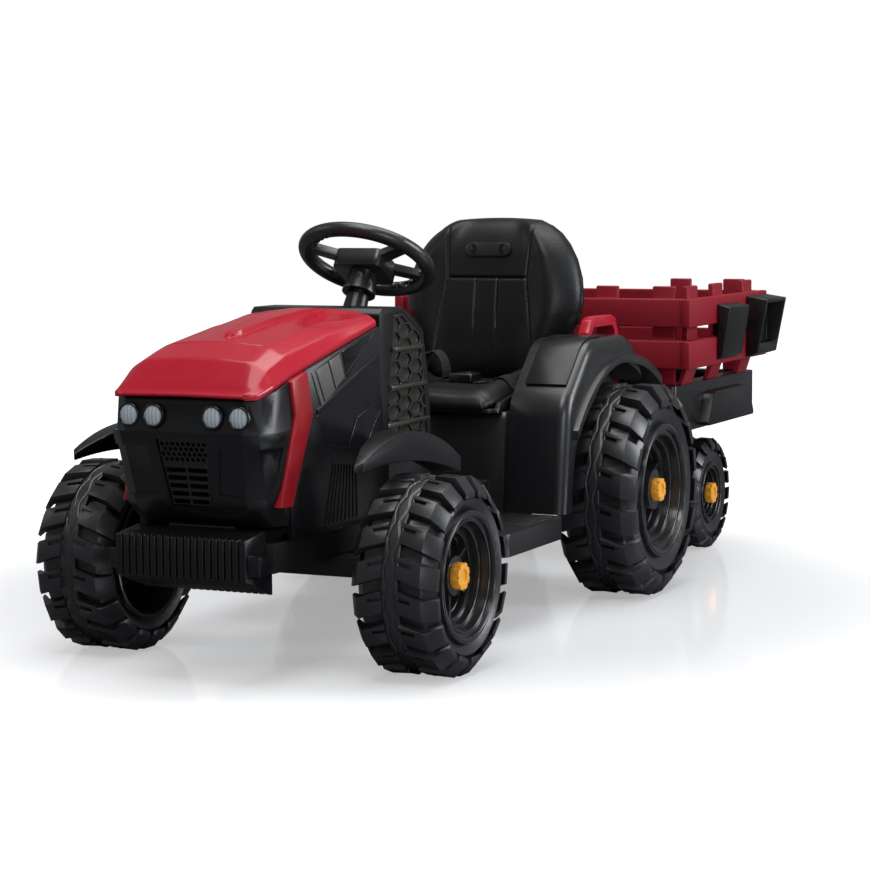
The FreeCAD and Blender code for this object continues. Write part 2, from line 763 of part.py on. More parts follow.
# Tie rod with slotted ends and the crank plate
link = block(-kingpin_offset, kingpin_offset, arm_length - link_half, arm_length + link_half, link_low,
             link_low + link_thick)
crank_plate = block(-link_plate_half, link_plate_half, arm_length, link_plate_back, link_low,
                    link_low + link_thick)
link = joined(link, crank_plate, *[rod(point(side, arm_length, link_low),
                                       point(side, arm_length, link_low + link_thick), link_half)
                                   for side in (-kingpin_offset, kingpin_offset)])
slot_half = link_pin_radius + link_slot_play
slots = [block(-link_pin_radius - crank_slot_play, link_pin_radius + crank_slot_play, crank_slot_front,
               crank_slot_back, link_low - overrun, link_low + overrun)]
for side in (-kingpin_offset, kingpin_offset):
    front = point(side, arm_length - link_slot_travel, link_low - overrun)
    rear = point(side, arm_length, link_low - overrun)
    rise = point(0, 0, overrun + overrun)
    slots += [rod(front, front + rise, slot_half), rod(rear, rear + rise, slot_half)]
parts["tie_rod"] = link.cut(slots)

# Steering shaft with its crank
crank_end = shaft_foot + steer_down * crank_radius
crank_top = steer_axis * crank_thick
shaft = rod(shaft_foot, steer_centre - steer_axis * hub_low, shaft_radius)
crank_web = rod(shaft_foot, shaft_foot + crank_top, crank_hub)
crank_ring = rod(crank_end, crank_end + crank_top, crank_eye)
side_step = point(1, 0, 0)
web = Part.Face(wire([
    shaft_foot - side_step * crank_eye, shaft_foot + side_step * crank_eye,
    crank_end + side_step * crank_eye, crank_end - side_step * crank_eye,
])).extrude(crank_top)
crank_pin = rod(crank_end + crank_top, crank_end - steer_axis * crank_pin_long, link_pin_radius)
parts["steering_shaft"] = joined(shaft, crank_web, crank_ring, web, crank_pin)


def steered(shape):
    """Lean a piece built about Z onto the steering axis at the wheel's centre."""
    shape.rotate(point(0, 0, 0), point(1, 0, 0), -wheel_lean_deg)
    shape.translate(steer_centre)
    return shape


# Steering wheel: ring, spokes, hub block, flared collar and finger bumps
ring = Part.makeTorus(steer_ring, steer_tube)
hub = loft([
    [point(x * hub_half_wide, y * hub_half_long, -hub_low) for x,
     y in ((-1, -1), (1, -1), (1, 1), (-1, 1))],
    [point(x * hub_half_wide, y * hub_half_long, hub_high) for x,
     y in ((-1, -1), (1, -1), (1, 1), (-1, 1))],
], hub_round)
spokes = []
for turn in spoke_turns_deg:
    arm = loft([
        [point(0, -spoke_half, -spoke_thick), point(0, spoke_half, -spoke_thick), point(0, spoke_half, 0),
         point(0, -spoke_half, 0)],
        [point(steer_ring, -spoke_tip_half, -spoke_thick / 2),
         point(steer_ring, spoke_tip_half, -spoke_thick / 2),
         point(steer_ring, spoke_tip_half, spoke_thick / 2),
         point(steer_ring, -spoke_tip_half, spoke_thick / 2)],
    ])
    arm.rotate(point(0, 0, 0), point(0, 0, 1), turn)
    spokes.append(arm)
collar = Part.makeCone(collar_flare, collar_radius, collar_long, point(0, 0, -hub_low - collar_long))
bumps = []
for start in bump_starts_deg:
    for index in range(bump_count):
        turn = math.radians(start + bump_step_deg * index)
        reach = steer_ring - steer_tube
        bumps.append(Part.makeSphere(bump_radius,
                                     point(reach * math.cos(turn), reach * math.sin(turn), 0)))
steering = joined(hub, ring, collar, *(spokes + bumps))
steering = steering.cut([
    Part.makeCylinder(horn_radius + seam, horn_pocket + overrun, point(0, 0, hub_high - horn_pocket)),
    Part.makeCylinder(horn_stem + seam, horn_pocket + horn_stem_long + horn_travel + seam,
                      point(0, 0, hub_high - horn_pocket - horn_stem_long - horn_travel - seam)),
    Part.makeCylinder(shaft_radius + running, collar_long + overrun,
                      point(0, 0, -hub_low - collar_long - overrun)),
])
parts["steering_wheel"] = steered(steering)
button_low = hub_high - horn_pocket + horn_travel + seam
button = joined(
    Part.makeCylinder(horn_radius, hub_high + horn_proud - button_low, point(0, 0, button_low)),
    Part.makeCylinder(horn_stem, horn_stem_long + horn_proud, point(0, 0, button_low - horn_stem_long)))
parts["horn_button"] = steered(button)

# Drive gearboxes on the rear axle, and the battery
case = prism_x([(gearbox_front, gearbox_low), (gearbox_back, gearbox_low), (gearbox_back, gearbox_high),
                (gearbox_front, gearbox_high)], rail_outer, gearbox_outer, gearbox_round)
output = rod(point(gearbox_outer, wheelbase, rear_tyre_radius),
             point(gear_boss_outer, wheelbase, rear_tyre_radius),
             gear_boss)
motor = rod(point(rail_outer, motor_back, motor_high),
            point(rail_outer - motor_long, motor_back, motor_high),
            motor_radius)
axle_bore = rod(point(0, wheelbase, rear_tyre_radius),
                point(rear_tyre_outer, wheelbase, rear_tyre_radius),
                rear_axle_radius + running)
gearbox = joined(case, output, motor).cut([axle_bore,
                                           block(rail_inner - seam, rail_outer, -rail_front, rail_rear,
                                                            rail_bottom - seam, rail_top + seam)])
parts["drive_gearboxes"] = both(gearbox)
parts["battery"] = prism_z([(-battery_half, battery_front), (battery_half, battery_front),
                            (battery_half, battery_back), (-battery_half, battery_back)], rail_top,
                           battery_high,
                           battery_round)

# Hood: a shell lofted along Y, with a raised spine


def hood_solid(inset, drop, rows):
    """Return the hood's volume through rows of shares, drawn in by an inset."""
    sections = []
    for back, low_half, low, top_half, top, crown in spread(rows, "yxzxzz"):
        lip = low + hood_lip_rise
        bulge = (low_half - (low_half - top_half) * bulge_wide_share,
                 lip + (top - lip) * bulge_high_share)
        half = [(low_half - inset, low - drop), (low_half - inset, lip - inset),
                (bulge[0] - inset, bulge[1] - inset),
                (top_half - inset, top - inset), (hood_crown_half, crown - inset)]
        outline = half + [(-x, z) for x, z in reversed(half)]
        sections.append([point(x, back, z) for x, z in outline])
    return loft(sections)


spine_rows = spread(spine_shares, "yxz")
spine = loft([[point(-half, back, top - spine_deep), point(half, back, top - spine_deep),
               point(half * spine_top_share, back, top), point(-half * spine_top_share, back, top)]
              for back, half, top in spine_rows])
hood = joined(hood_solid(0.0, 0.0, hood_shares), spine)
hood = hood.cut(hood_solid(skin, overrun, hood_shares[2:]))
corner = hood_corner_share * wheelbase
for sign in (-1, 1):
    hood = hood.cut(prism_z([(sign * panel_outer, corner), (sign * panel_outer, hood_rear + overrun),
                             (sign * hood_corner_wide_share * body_half, hood_rear + overrun),
                             (sign * hood_corner_wide_share * body_half, hood_rear)], 0, rear_reach))
parts["hood"] = hood

# Front shell: two lofts stacked with a ledge, cut back to the trim strips


def nose_solid(rows, inset, drop):
    """Return the nose volume through horizontal rows, drawn in by an inset."""
    sections = []
    for high, front_half, front, knee, knee_back, side, side_back in spread(rows, "zxyxyxy"):
        half = [(front_half - inset / 2, front + inset), (knee - inset, knee_back + inset / 2),
                (side - inset, side_back), (side - inset, nose_back_share * wheelbase)]
        outline = half + [(-x, y) for x, y in reversed(half)]
        sections.append([point(x, y, high + drop) for x, y in outline])
    return loft(sections)


nose_low = nose_solid(nose_low_shares, 0.0, 0.0)
nose_high = nose_solid(nose_high_shares, 0.0, 0.0)
nose = joined(nose_low, nose_high)
ledge = nose_low_shares[-1][0] * body_high
room = nose_solid(nose_low_shares, skin, skin).common(block(-panel_outer, panel_outer, -front_reach, 0, 0,
                                                            ledge - skin))
nose = nose.cut([room, nose_solid(nose_high_shares, skin, 0.0),
                 nose_solid(nose_high_shares, skin, -overrun)])
vent = prism_y(spread(vent_shares, "xz"), -front_reach,
               0).common(prism_x(spread(vent_edge_shares, "yz"), 0, rear_tyre_outer))
vent = vent.common(nose_low).cut(nose_solid(nose_low_shares, vent_deep, 0.0))
nose = nose.cut([vent, other_side(vent)])
behind = spread(nose_edge_shares, "yz")
behind += [(hood_rear, behind[-1][1]), (hood_rear, behind[0][1])]
nose = nose.cut(prism_x(behind, -rear_tyre_outer, rear_tyre_outer))
brow = spread(nose_brow_shares, "yz")
above = [(-rear_reach, brow[0][1] - seam)] + [(y, z - seam) for y, z in brow]
above += [(hood_rear, brow[-1][1] - seam), (hood_rear, rear_reach), (-rear_reach, rear_reach)]
nose = nose.cut(prism_x(above, -rear_tyre_outer, rear_tyre_outer))


def grille_face(inset):
    """Return the grille opening's outline, drawn in by an inset."""
    return [(-grille_half_low + inset, grille_low + inset), (grille_half_low - inset, grille_low + inset),
            (grille_half_top - inset, grille_top - inset), (-grille_half_top + inset, grille_top - inset)]


lamp_bores = []
lenses = []
for offset, front in spread(lamp_offsets_shares, "xy"):
    for sign in (-1, 1):
        lamp_bores.append(rod(point(sign * offset, -front_reach, lamp_high),
                              point(sign * offset, -front_reach / 2, lamp_high), lamp_radius + seam))
        lens = rod(point(sign * offset, front, lamp_high),
                   point(sign * offset, front + lamp_long, lamp_high),
                   lamp_radius)
        dome = Part.makeSphere(lamp_dome, point(sign * offset, front + lamp_dome, lamp_high))
        lenses.append(lens.common(dome))
nose = nose.cut([prism_y(grille_face(0.0), -front_reach, -front_reach / 2)] + lamp_bores)
parts["front_shell"] = nose
parts["headlight_lenses"] = Part.makeCompound(lenses)

# Grille insert, following the nose behind its opening
face = nose_low.copy()
face.translate(point(0, grille_set, 0))
core = nose_low.copy()
core.translate(point(0, grille_set + grille_thick, 0))
grille = prism_y(grille_face(seam), -front_reach, -front_reach / 2).common(face).cut(core)


def hexagon(x, z, radius):
    """Return the corners of a hexagon about a point."""
    return [(x + radius * math.cos(math.radians(60 * k)), z + radius * math.sin(math.radians(60 * k)))
            for k in range(6)]


holes = []
for row in range(grille_hex_rows):
    high = grille_top - grille_frame - grille_hex - row * grille_hex_pitch * math.sin(math.radians(60))
    reach = grille_half_top - grille_frame - grille_hex
    count = int(reach / grille_hex_pitch)
    for index in range(-count, count + 1 - row % 2):
        x = (index + (row % 2) / 2) * grille_hex_pitch
        holes.append(prism_y(hexagon(x, high, grille_hex), -front_reach, -front_reach / 2))
for row in range(grille_slat_rows):
    low = grille_low + grille_frame + row * grille_slat_pitch
    rise_share = (low - grille_low) / (grille_top - grille_low)
    reach = grille_half_low + (grille_half_top - grille_half_low) * rise_share - grille_frame
    for sign in (-1, 1):
        holes.append(prism_y([(sign * grille_frame / 2, low), (sign * reach, low),
                              (sign * reach, low + grille_slat_high),
                              (sign * grille_frame / 2, low + grille_slat_high)],
                             -front_reach, -front_reach / 2))
parts["grille_insert"] = grille.cut(holes)

# Trim strips and side panels
front_edge = spread(nose_edge_shares, "yz")[1:4]
rear_edge = spread(strip_rear_shares, "yz")
strip_line = [(y + seam, z - seam) for y, z in front_edge[:2]]
strip_line += [(front_edge[2][0] + 2 * seam, front_edge[2][1] + seam)]
strip_line += [(y, z + seam) for y, z in reversed(rear_edge)]
strip_line[0] = (strip_line[0][0], brow[-1][1] + (strip_line[0][0] - brow[-1][0]) * (brow[-1][1] - brow[1][1])
                 / (brow[-1][0] - brow[1][0]) - seam)
strip_line[-1] = (strip_line[-1][0], rear_edge[0][1] - seam)
parts["trim_strips"] = both(prism_x(strip_line, strip_inner, strip_outer))
hood_low = [(row[0], row[2]) for row in spread(hood_shares, "yxzxzz")]
panel_line = [(rear_edge[0][0] + seam, rear_edge[0][1] - seam)]
panel_line += [(y, z - seam) for y, z in hood_low[-3:-1]]
panel_line += [(y, z - seam) for y, z in spread(panel_rear_shares, "yz")]
panel_line += [(hood_rear, rail_top), (panel_front_low_share * wheelbase, rail_top)]
panel_line += [(y + seam, z) for y, z in reversed(rear_edge[1:])]
panel = prism_x(panel_line, panel_inner, panel_outer)
foot = block(rail_inner, panel_inner, panel_front_low_share * wheelbase + overrun, hood_rear, rail_top,
             rail_top + panel_foot_thick)
ridge = prism_x(spread(brace_shares, "yz"), panel_outer, panel_outer + brace_proud)
front_low, front_high, back_low, back_high = spread(gill_shares, "yz")
slots = []
for index in range(gill_count):
    share = index / (gill_count - 1)
    low = [front_low[k] + (back_low[k] - front_low[k]) * share for k in (0, 1)]
    high = [front_high[k] + (back_high[k] - front_high[k]) * share for k in (0, 1)]
    slots.append(prism_x([(low[0], low[1]), (low[0] + gill_wide, low[1]), (high[0] + gill_wide, high[1]),
                          (high[0], high[1])], panel_outer - vent_deep, panel_outer + overrun))
panel = joined(panel, foot, ridge).cut(slots)
parts["side_panel_left"] = panel
parts["side_panel_right"] = other_side(panel)

# Dash tower with its column sleeve, and the honeycomb panels let into its flanks
dash_line = spread(dash_shares, "yz")
dash = prism_x(dash_line, -dash_half, dash_half, dash_round)
sleeve_low = steer_centre - steer_axis * column_low
sleeve_high = steer_centre - steer_axis * column_high
sleeve = Part.makeCone(column_flare, column_radius, column_low - column_high, sleeve_low, steer_axis)
dash = joined(dash, sleeve)
inside = [(dash_line[0][0] + dash_wall, 0), (dash_line[1][0] + dash_wall, dash_line[1][1] - dash_wall),
          (dash_line[3][0], dash_line[3][1] - dash_wall),
          (dash_line[4][0] - dash_wall, dash_line[4][1] - dash_wall),
          (dash_line[5][0] - dash_wall, dash_line[5][1]), (dash_line[6][0] - dash_wall, dash_line[6][1]),
          (dash_line[7][0] - dash_wall, 0)]
comb_line = spread(comb_shares, "yz")
comb_deep = dash_half - comb_thick
comb_pocket = prism_x(comb_line, comb_deep - seam, dash_half + overrun)
dash = dash.cut([prism_x(inside, dash_wall * 2 - dash_half, dash_half - dash_wall * 2), comb_pocket,
                 other_side(comb_pocket),
                 rod(shaft_foot, steer_centre, shaft_radius + seam)])
panel_start = point(0, dash_line[3][0], dash_line[3][1])
panel_end = point(0, dash_line[4][0], dash_line[4][1])
slope = (panel_end - panel_start).normalize()
rise = point(0, -slope.z, slope.y)
switch_at = panel_start + (panel_end - panel_start) * switch_share + point(-switch_offset, 0, 0)


def on_slope(x0, x1, y0, y1, z0, z1):
    """Return a box on the sloped panel: across, along the slope, and above it."""
    base = [switch_at + point(x, 0, 0) + slope * y + rise * z0 for x,
            y in ((x0, y0), (x1, y0), (x1, y1), (x0, y1))]
    return Part.Face(wire(base)).extrude(rise * (z1 - z0))


dash = dash.cut(on_slope(-switch_half - 2 * seam, switch_half + 2 * seam, -switch_long - dash_wall / 2,
                         switch_long + dash_wall / 2, -overrun, overrun))
cheek = joined(on_slope(-switch_half - dash_wall, -switch_half - 2 * seam, -switch_long, switch_long,
                        -switch_deep, -dash_wall),
               on_slope(switch_half + 2 * seam, switch_half + dash_wall, -switch_long, switch_long,
                        -switch_deep, -dash_wall))
dash = joined(dash, cheek)
pin_at = switch_at - rise * (switch_deep - switch_pin * switch_pin_share)
dash = dash.cut(rod(pin_at - point(switch_half + dash_wall / 2, 0, 0),
                    pin_at + point(switch_half + dash_wall / 2, 0, 0),
                    switch_pin + running))
parts["dash_cowl"] = dash
rocker = on_slope(-switch_half, switch_half, -switch_long, switch_long, -dash_wall / 2, dash_wall)
rocker = joined(rocker, on_slope(-switch_half, switch_half, -switch_pin, switch_pin, -switch_deep, 0.0),
                rod(pin_at - point(switch_half + dash_wall / 2, 0, 0),
                    pin_at + point(switch_half + dash_wall / 2, 0, 0),
                    switch_pin))
parts["direction_switch"] = rocker

inner_line = []
count = len(comb_line)
centre = (sum(y for y, z in comb_line) / count, sum(z for y, z in comb_line) / count)
for y, z in comb_line:
    away = math.hypot(y - centre[0], z - centre[1])
    inner_line.append((y - (y - centre[0]) / away * seam * 2, z - (z - centre[1]) / away * seam * 2))
comb = prism_x(inner_line, comb_deep, dash_half)
bars = [share * body_high for share in comb_bar_shares]
window_line = []
for y, z in comb_line:
    away = math.hypot(y - centre[0], z - centre[1])
    window_line.append((y - (y - centre[0]) / away * comb_margin,
                        z - (z - centre[1]) / away * comb_margin))
low_edge = min(z for y, z in comb_line)
high_edge = max(z for y, z in comb_line)
front_edge = min(y for y, z in comb_line)
back_edge = max(y for y, z in comb_line)
window = prism_x(window_line, dash_half - comb_hex_deep, dash_half + overrun)
bar_solids = []
for bar in bars:
    rail_bar = block(comb_deep, dash_half + comb_bar_proud, front_edge, back_edge,
                     bar - comb_bar_high / 2, bar + comb_bar_high / 2)
    bar_solids.append(rail_bar.common(prism_x(inner_line, comb_deep, dash_half + overrun)))
    window = window.cut(block(0, dash_half + overrun * 2, front_edge, back_edge, bar - comb_bar_high / 2,
                              bar + comb_bar_high / 2))
cell_reach = comb_hex + comb_web / math.sqrt(3)
column_step = cell_reach * math.sqrt(3) * math.cos(math.radians(30)) * comb_stretch_share
row_step = cell_reach * math.sqrt(3)
cells = []
for column in range(int((back_edge - front_edge) / column_step) + 2):
    for row in range(int((high_edge - low_edge) / row_step) + 2):
        back = front_edge + column * column_step
        high = low_edge + (row + (column % 2) / 2) * row_step
        ring = [(back + (y - back) * comb_stretch_share, z) for y, z in hexagon(back, high, comb_hex)]
        cell = prism_x(ring, dash_half - comb_hex_deep, dash_half + overrun).common(window)
        cells += [solid for solid in cell.Solids if solid.Volume > comb_hex * comb_hex * comb_hex_deep]
comb = joined(comb.cut(cells), *bar_solids)
parts["honeycomb_panels"] = both(comb)

# Floor boards, tunnel and seat tub in one moulding
boards = prism_z([(-floor_half, floor_front), (floor_half, floor_front), (floor_half, floor_back),
                  (-floor_half, floor_back)], floor_low, rail_bottom, overrun)
under = prism_z([(floor_skin - floor_half, floor_front + floor_skin),
                 (floor_half - floor_skin, floor_front + floor_skin),
                 (floor_half - floor_skin, floor_back - floor_skin),
                 (floor_skin - floor_half, floor_back - floor_skin)],
                floor_low - overrun, rail_bottom - floor_skin, overrun - floor_skin)
dash_back = dash_line[-1][0]
tub_line = spread(tub_shares, "yz")
tunnel = block(-tunnel_half, tunnel_half, dash_back + seam, tub_line[1][0], rail_bottom, tunnel_top)
seat_box = prism_x(tub_line, -tub_half, tub_half)
hollow_line = [(tub_line[0][0] + tub_wall, rail_bottom), (tub_line[1][0] + tub_wall, tub_line[1][1]),
               (tub_line[2][0] + tub_wall, tub_line[2][1] - tub_wall),
               (tub_line[3][0] - tub_wall, tub_line[3][1] - tub_wall),
               (tub_line[4][0] - tub_wall, tub_line[4][1] - tub_wall),
               (tub_line[5][0] - tub_wall, rail_bottom - overrun * 2),
               (floor_back, rail_bottom - overrun * 2), (floor_back, rail_bottom)]
hollows = [
    block(tub_wall - tunnel_half, tunnel_half - tub_wall, dash_back, tub_line[2][0], rail_bottom,
          tunnel_top - tub_wall),
    prism_x(hollow_line, tub_wall - tub_half, tub_half - tub_wall),
    block(-rail_outer - seam, rail_outer + seam, tub_line[3][0], rail_rear + overrun,
          rail_bottom - overrun, tub_tail),
    rod(point(-floor_half, wheelbase, rear_tyre_radius), point(floor_half, wheelbase, rear_tyre_radius),
        axle_port),
]
ears = []
pedal_hinge = point(0, pedal_back, rail_bottom + pedal_pin + pedal_thick / 2)
for side in (-pedal_half - pedal_ear - seam, pedal_half + seam):
    ears.append(block(side - pedal_offset, side - pedal_offset + pedal_ear, pedal_back - pedal_thick,
                      pedal_back + pedal_thick,
                      rail_bottom, pedal_hinge.z + pedal_thick))
treads = []
for index in range(tread_count):
    start = tread_front + tread_pitch * index
    tread = block(tread_inner, tread_outer, start, start + tread_wide, rail_bottom,
                  rail_bottom + tread_high)
    treads += [tread, other_side(tread)]
tub = joined(boards.cut(under), tunnel, seat_box, *ears).cut(hollows)
pin_reach = point(pedal_half + pedal_ear + seam, 0, 0)
pedal_middle = pedal_hinge - point(pedal_offset, 0, 0)
tub = tub.cut(rod(pedal_middle - pin_reach, pedal_middle + pin_reach, pedal_pin + running))
pod_line = spread(pod_shares, "yz")
treads = [tread for tread in treads if tread.BoundBox.YMax < pod_line[0][0]]
parts["body_tub"] = joined(tub, *[tread for tread in treads if tread.BoundBox.XMin > 0 or tread.BoundBox.YMin > pedal_back + overrun])

pedal = prism_x([(pedal_back + pedal_thick / 2, pedal_hinge.z - pedal_thick / 2),
                 (pedal_back + pedal_thick / 2, pedal_hinge.z + pedal_thick / 2),
                 (pedal_front, pedal_hinge.z + pedal_high + pedal_thick / 2),
                 (pedal_front, pedal_hinge.z + pedal_high - pedal_thick / 2)],
                -pedal_offset - pedal_half, -pedal_offset + pedal_half, pedal_thick / 4)
parts["accelerator_pedal"] = joined(pedal,
                                    rod(pedal_middle - pin_reach, pedal_middle + pin_reach, pedal_pin))

# Front fenders: a curved leaf with a turned-down outer lip


def arch_band(line, thick, low, high, sag=0.0):
    """Return a band under an arc through three (y, z) points, extruded along X, deeper by a sag in its middle."""
    top = [point(low, y, z) for y, z in line]
    bottom = [point(low, y, z - thick) for y, z in line]
    bottom[1].z -= sag
    edges = [Part.Arc(*top).toShape(), Part.makeLine(top[2], bottom[2]),
             Part.Arc(*reversed(bottom)).toShape(), Part.makeLine(bottom[0], top[0])]
    return Part.Face(Part.Wire(edges)).extrude(point(high - low, 0, 0))


fender_line = spread(fender_edge_shares, "yz")
plan = prism_z(spread(fender_plan_shares, "xy"), rail_top, steer_centre_high)
leaf = arch_band(fender_line, fender_thick, panel_outer, fender_outer)
lip = arch_band(fender_line, fender_lip, fender_outer - fender_lip_wide, fender_outer, fender_skirt)
fender = joined(leaf, lip).common(plan)
parts["front_fender_left"] = fender
parts["front_fender_right"] = other_side(fender)

# Rear fender pods with their wheel arches and flares
pod = prism_x(pod_line, tub_half + seam, pod_outer, pod_rounds)
pod_rim = [edge for edge in pod.Edges if min(corner.X for corner in edge.Vertexes) > pod_outer - seam
           and max(corner.Z for corner in edge.Vertexes) > rail_bottom + seam]
pod = pod.makeFillet(pod_edge, pod_rim).Solids[0]
middle = pod.CenterOfMass
pocket = pod.copy()
pocket.scale(1 - pod_wall * 2 / (pod_line[-1][0] - pod_line[0][0]), middle)
pocket.translate(point(tub_half - pocket.BoundBox.XMin, 0, 0))
pocket = pocket.common(block(0, arch_inner - pod_wall, 0, rear_reach, 0, rear_reach))
arch = rod(point(arch_inner, wheelbase, rear_tyre_radius),
           point(flare_outer + overrun, wheelbase, rear_tyre_radius), arch_radius)
low_cut = block(arch_inner, flare_outer + overrun, wheelbase, rear_reach, 0, rear_tyre_radius)
port = rod(point(0, wheelbase, rear_tyre_radius), point(floor_half, wheelbase, rear_tyre_radius),
           axle_port)
flare = arch_band(spread(flare_shares, "yz"), flare_thick, arch_inner, flare_outer)
rear_fender = joined(pod, flare).cut([pocket, arch, port, low_cut, boards])
parts["rear_fender_left"] = rear_fender
parts["rear_fender_right"] = other_side(rear_fender)
sheet = wire([point(cover_inner, y, z) for y, z in pod_line], pod_rounds).makeOffset2D(cover_thick)
cover = Part.Face(sheet).extrude(point(cover_outer - cover_inner, 0, 0))
cover = cover.common(block(0, rear_tyre_outer, 0, cover_back, cover_low,
                           steer_centre_high)).cut(rear_fender)
cover = max(cover.Solids, key=lambda solid: solid.BoundBox.ZMax)
parts["fender_covers"] = both(cover)
grip = prism_x(spread(grip_shares, "yz"), grip_inner, grip_outer, grip_round).cut(rear_fender)
grip = max(grip.Solids, key=lambda solid: solid.BoundBox.ZMax)
parts["grab_handles"] = both(grip)

# Front weights: a block grooved into plates
weight_line = spread(weight_shares, "yz")
weights = prism_x(weight_line, -weight_half, weight_half)
core_line = [(weight_line[0][0] + weight_deep, weight_line[5][1] + overrun),
             (weight_line[0][0] + weight_deep, weight_line[1][1] + weight_deep),
             (weight_line[2][0] + overrun, weight_line[2][1] + weight_foot),
             (weight_line[2][0] + overrun, weight_line[5][1] + overrun)]
grooves = []
plate_step = 2 * weight_half / weight_count
for index in range(1, weight_count):
    start = -weight_half + plate_step * index - weight_gap / 2
    grooves.append(prism_x(weight_line, start,
                           start + weight_gap).cut(prism_x(core_line, start, start + weight_gap)))
hook = prism_x(spread(hook_shares, "yz"), weight_half, weight_half + hook_wide)
parts["front_weights"] = joined(weights.cut(grooves), hook, other_side(hook))

# Seat: pan with side wings and a back shell, two pads and the belt
pan = prism_z([(-seat_half, seat_front), (seat_half, seat_front), (seat_half, seat_back_end),
               (-seat_half, seat_back_end)], tub_top,
              tub_top + seat_pan_thick, overrun)
wing = prism_x(spread(seat_wing_shares, "yz"), seat_half - seat_wing, seat_half)
back_rows = spread(back_shares, "zxy")
back_rows[0] = (tub_top + seat_pan_thick, back_rows[0][1], back_rows[0][2])
back = loft([[point(-half, front, high), point(half, front, high), point(half, front + back_thick, high),
              point(-half, front + back_thick, high)] for high, half, front in back_rows], back_round)
parts["seat_shell"] = joined(pan, wing, other_side(wing), back)


def back_front(high):
    """Return the Y of the back shell's front face at a height."""
    for low, top in zip(back_rows, back_rows[1:]):
        if high <= top[0]:
            break
    return low[2] + (top[2] - low[2]) * (high - low[0]) / (top[0] - low[0])


def crowned(corners, crown):
    """Return a closed section: an arc over two corners by way of a crown, then straight sides."""
    start, base_start, base_end, end = corners
    return Part.Wire([Part.Arc(start, crown, end).toShape(), Part.makeLine(end, base_end),
                      Part.makeLine(base_end, base_start), Part.makeLine(base_start, start)])


sections = []
for high, half, edge, crown in spread(pad_shares, "zxzz"):
    rest = back_front(high) - seam
    sections.append(crowned([point(-half, rest - edge, high), point(-half, rest, high),
                             point(half, rest, high),
                             point(half, rest - edge, high)], point(0, rest - crown, high)))
pad = Part.makeLoft(sections, True, True)
fronts = [(row[0], back_front(row[0]) - seam - row[3]) for row in spread(pad_shares, "zxzz")]
depth_line = [(y + channel_deep, z) for z, y in fronts]
core_line = [(seat_back_end + overrun, depth_line[0][1])] + depth_line + [(seat_back_end + overrun,
                                                                           depth_line[-1][1])]
channels = []
channel_top = seam_high
offsets = [share * body_half for share in channel_offsets_shares]
for offset in offsets:
    for sign in (-1, 1):
        start = sign * offset - channel_wide / 2
        top = channel_top if offset == min(offsets) else fronts[-3][0]
        channels.append(block(start, start + channel_wide, seat_front, seat_back_end, channel_low, top)
                        .cut(prism_x(core_line, start, start + channel_wide)))
reach = max(offsets)
channels.append(block(-reach, reach, seat_front, seat_back_end, seam_high,
                      seam_high + channel_wide).cut(prism_x(core_line, -reach, reach)))
parts["seat_back"] = pad.cut(channels)

sections = []
rest = tub_top + seat_pan_thick + seam
for deep, half, edge, crown in spread(cushion_shares, "yxzz"):
    sections.append(crowned([point(-half, deep, rest + edge), point(-half, deep, rest),
                             point(half, deep, rest),
                             point(half, deep, rest + edge)], point(0, deep, rest + crown)))
cushion = Part.makeLoft(sections, True, True)
tops = [(row[0], rest + row[3] - channel_deep) for row in spread(cushion_shares, "yxzz")]
core_line = [(tops[0][0] - overrun, 0)] + [(tops[0][0] - overrun,
                                            tops[0][1])] + tops + [(tops[-1][0] + overrun, tops[-1][1]),
                                                                   (tops[-1][0] + overrun, 0)]
channels = []
for offset in offsets:
    for sign in (-1, 1):
        start = sign * offset - channel_wide / 2
        channels.append(block(start, start + channel_wide, tops[1][0], cushion_channel, tub_top,
                              seam_high)
                        .cut(prism_x(core_line, start, start + channel_wide)))
parts["seat_cushion"] = cushion.cut(channels)

over = cushion.copy()
over.translate(point(0, 0, seam + strap_thick))
under = cushion.copy()
under.translate(point(0, 0, seam))
band = block(strap_start, strap_reach, strap_front, strap_front + strap_wide,
             tub_top + seat_pan_thick * 3, seam_high)
strap = band.common(over).cut(under)
clasp_base = block(-buckle_half, buckle_half, strap_front + strap_wide / 2 - buckle_deep / 2,
                   strap_front + strap_wide / 2 + buckle_deep / 2,
                   tub_top + seat_pan_thick * 3, seam_high)
lid = cushion.copy()
lid.translate(point(0, 0, seam + buckle_high))
clasp = clasp_base.common(lid).cut(under)
parts["seat_belt"] = Part.makeCompound([strap, other_side(strap), clasp])

# Trailer bed: an open tray with a rim, wheel guards and tail posts
bed = prism_z([(-bed_half, bed_front), (bed_half, bed_front), (bed_half, bed_back),
               (-bed_half, bed_back)], bed_low, bed_top, bed_round)
inner = block(bed_wall - bed_half, bed_half - bed_wall, bed_front + bed_wall, bed_back - bed_wall,
              bed_low + bed_floor, bed_top - rim_deep)
mouth = block(rim_wide - bed_half, bed_half - rim_wide, bed_front + rim_wide, bed_back - rim_wide,
              bed_low + bed_floor, bed_top + overrun)
guard = prism_x(spread(guard_shares, "yz"), bed_half, bed_half + guard_proud, guard_rounds)
tail = block(bed_half - tail_post_wide - bed_round, bed_half - bed_round, bed_back, rear_reach, bed_low,
             bed_top)
parts["trailer_bed"] = joined(bed.cut([inner, mouth]), guard, other_side(guard), tail, other_side(tail))

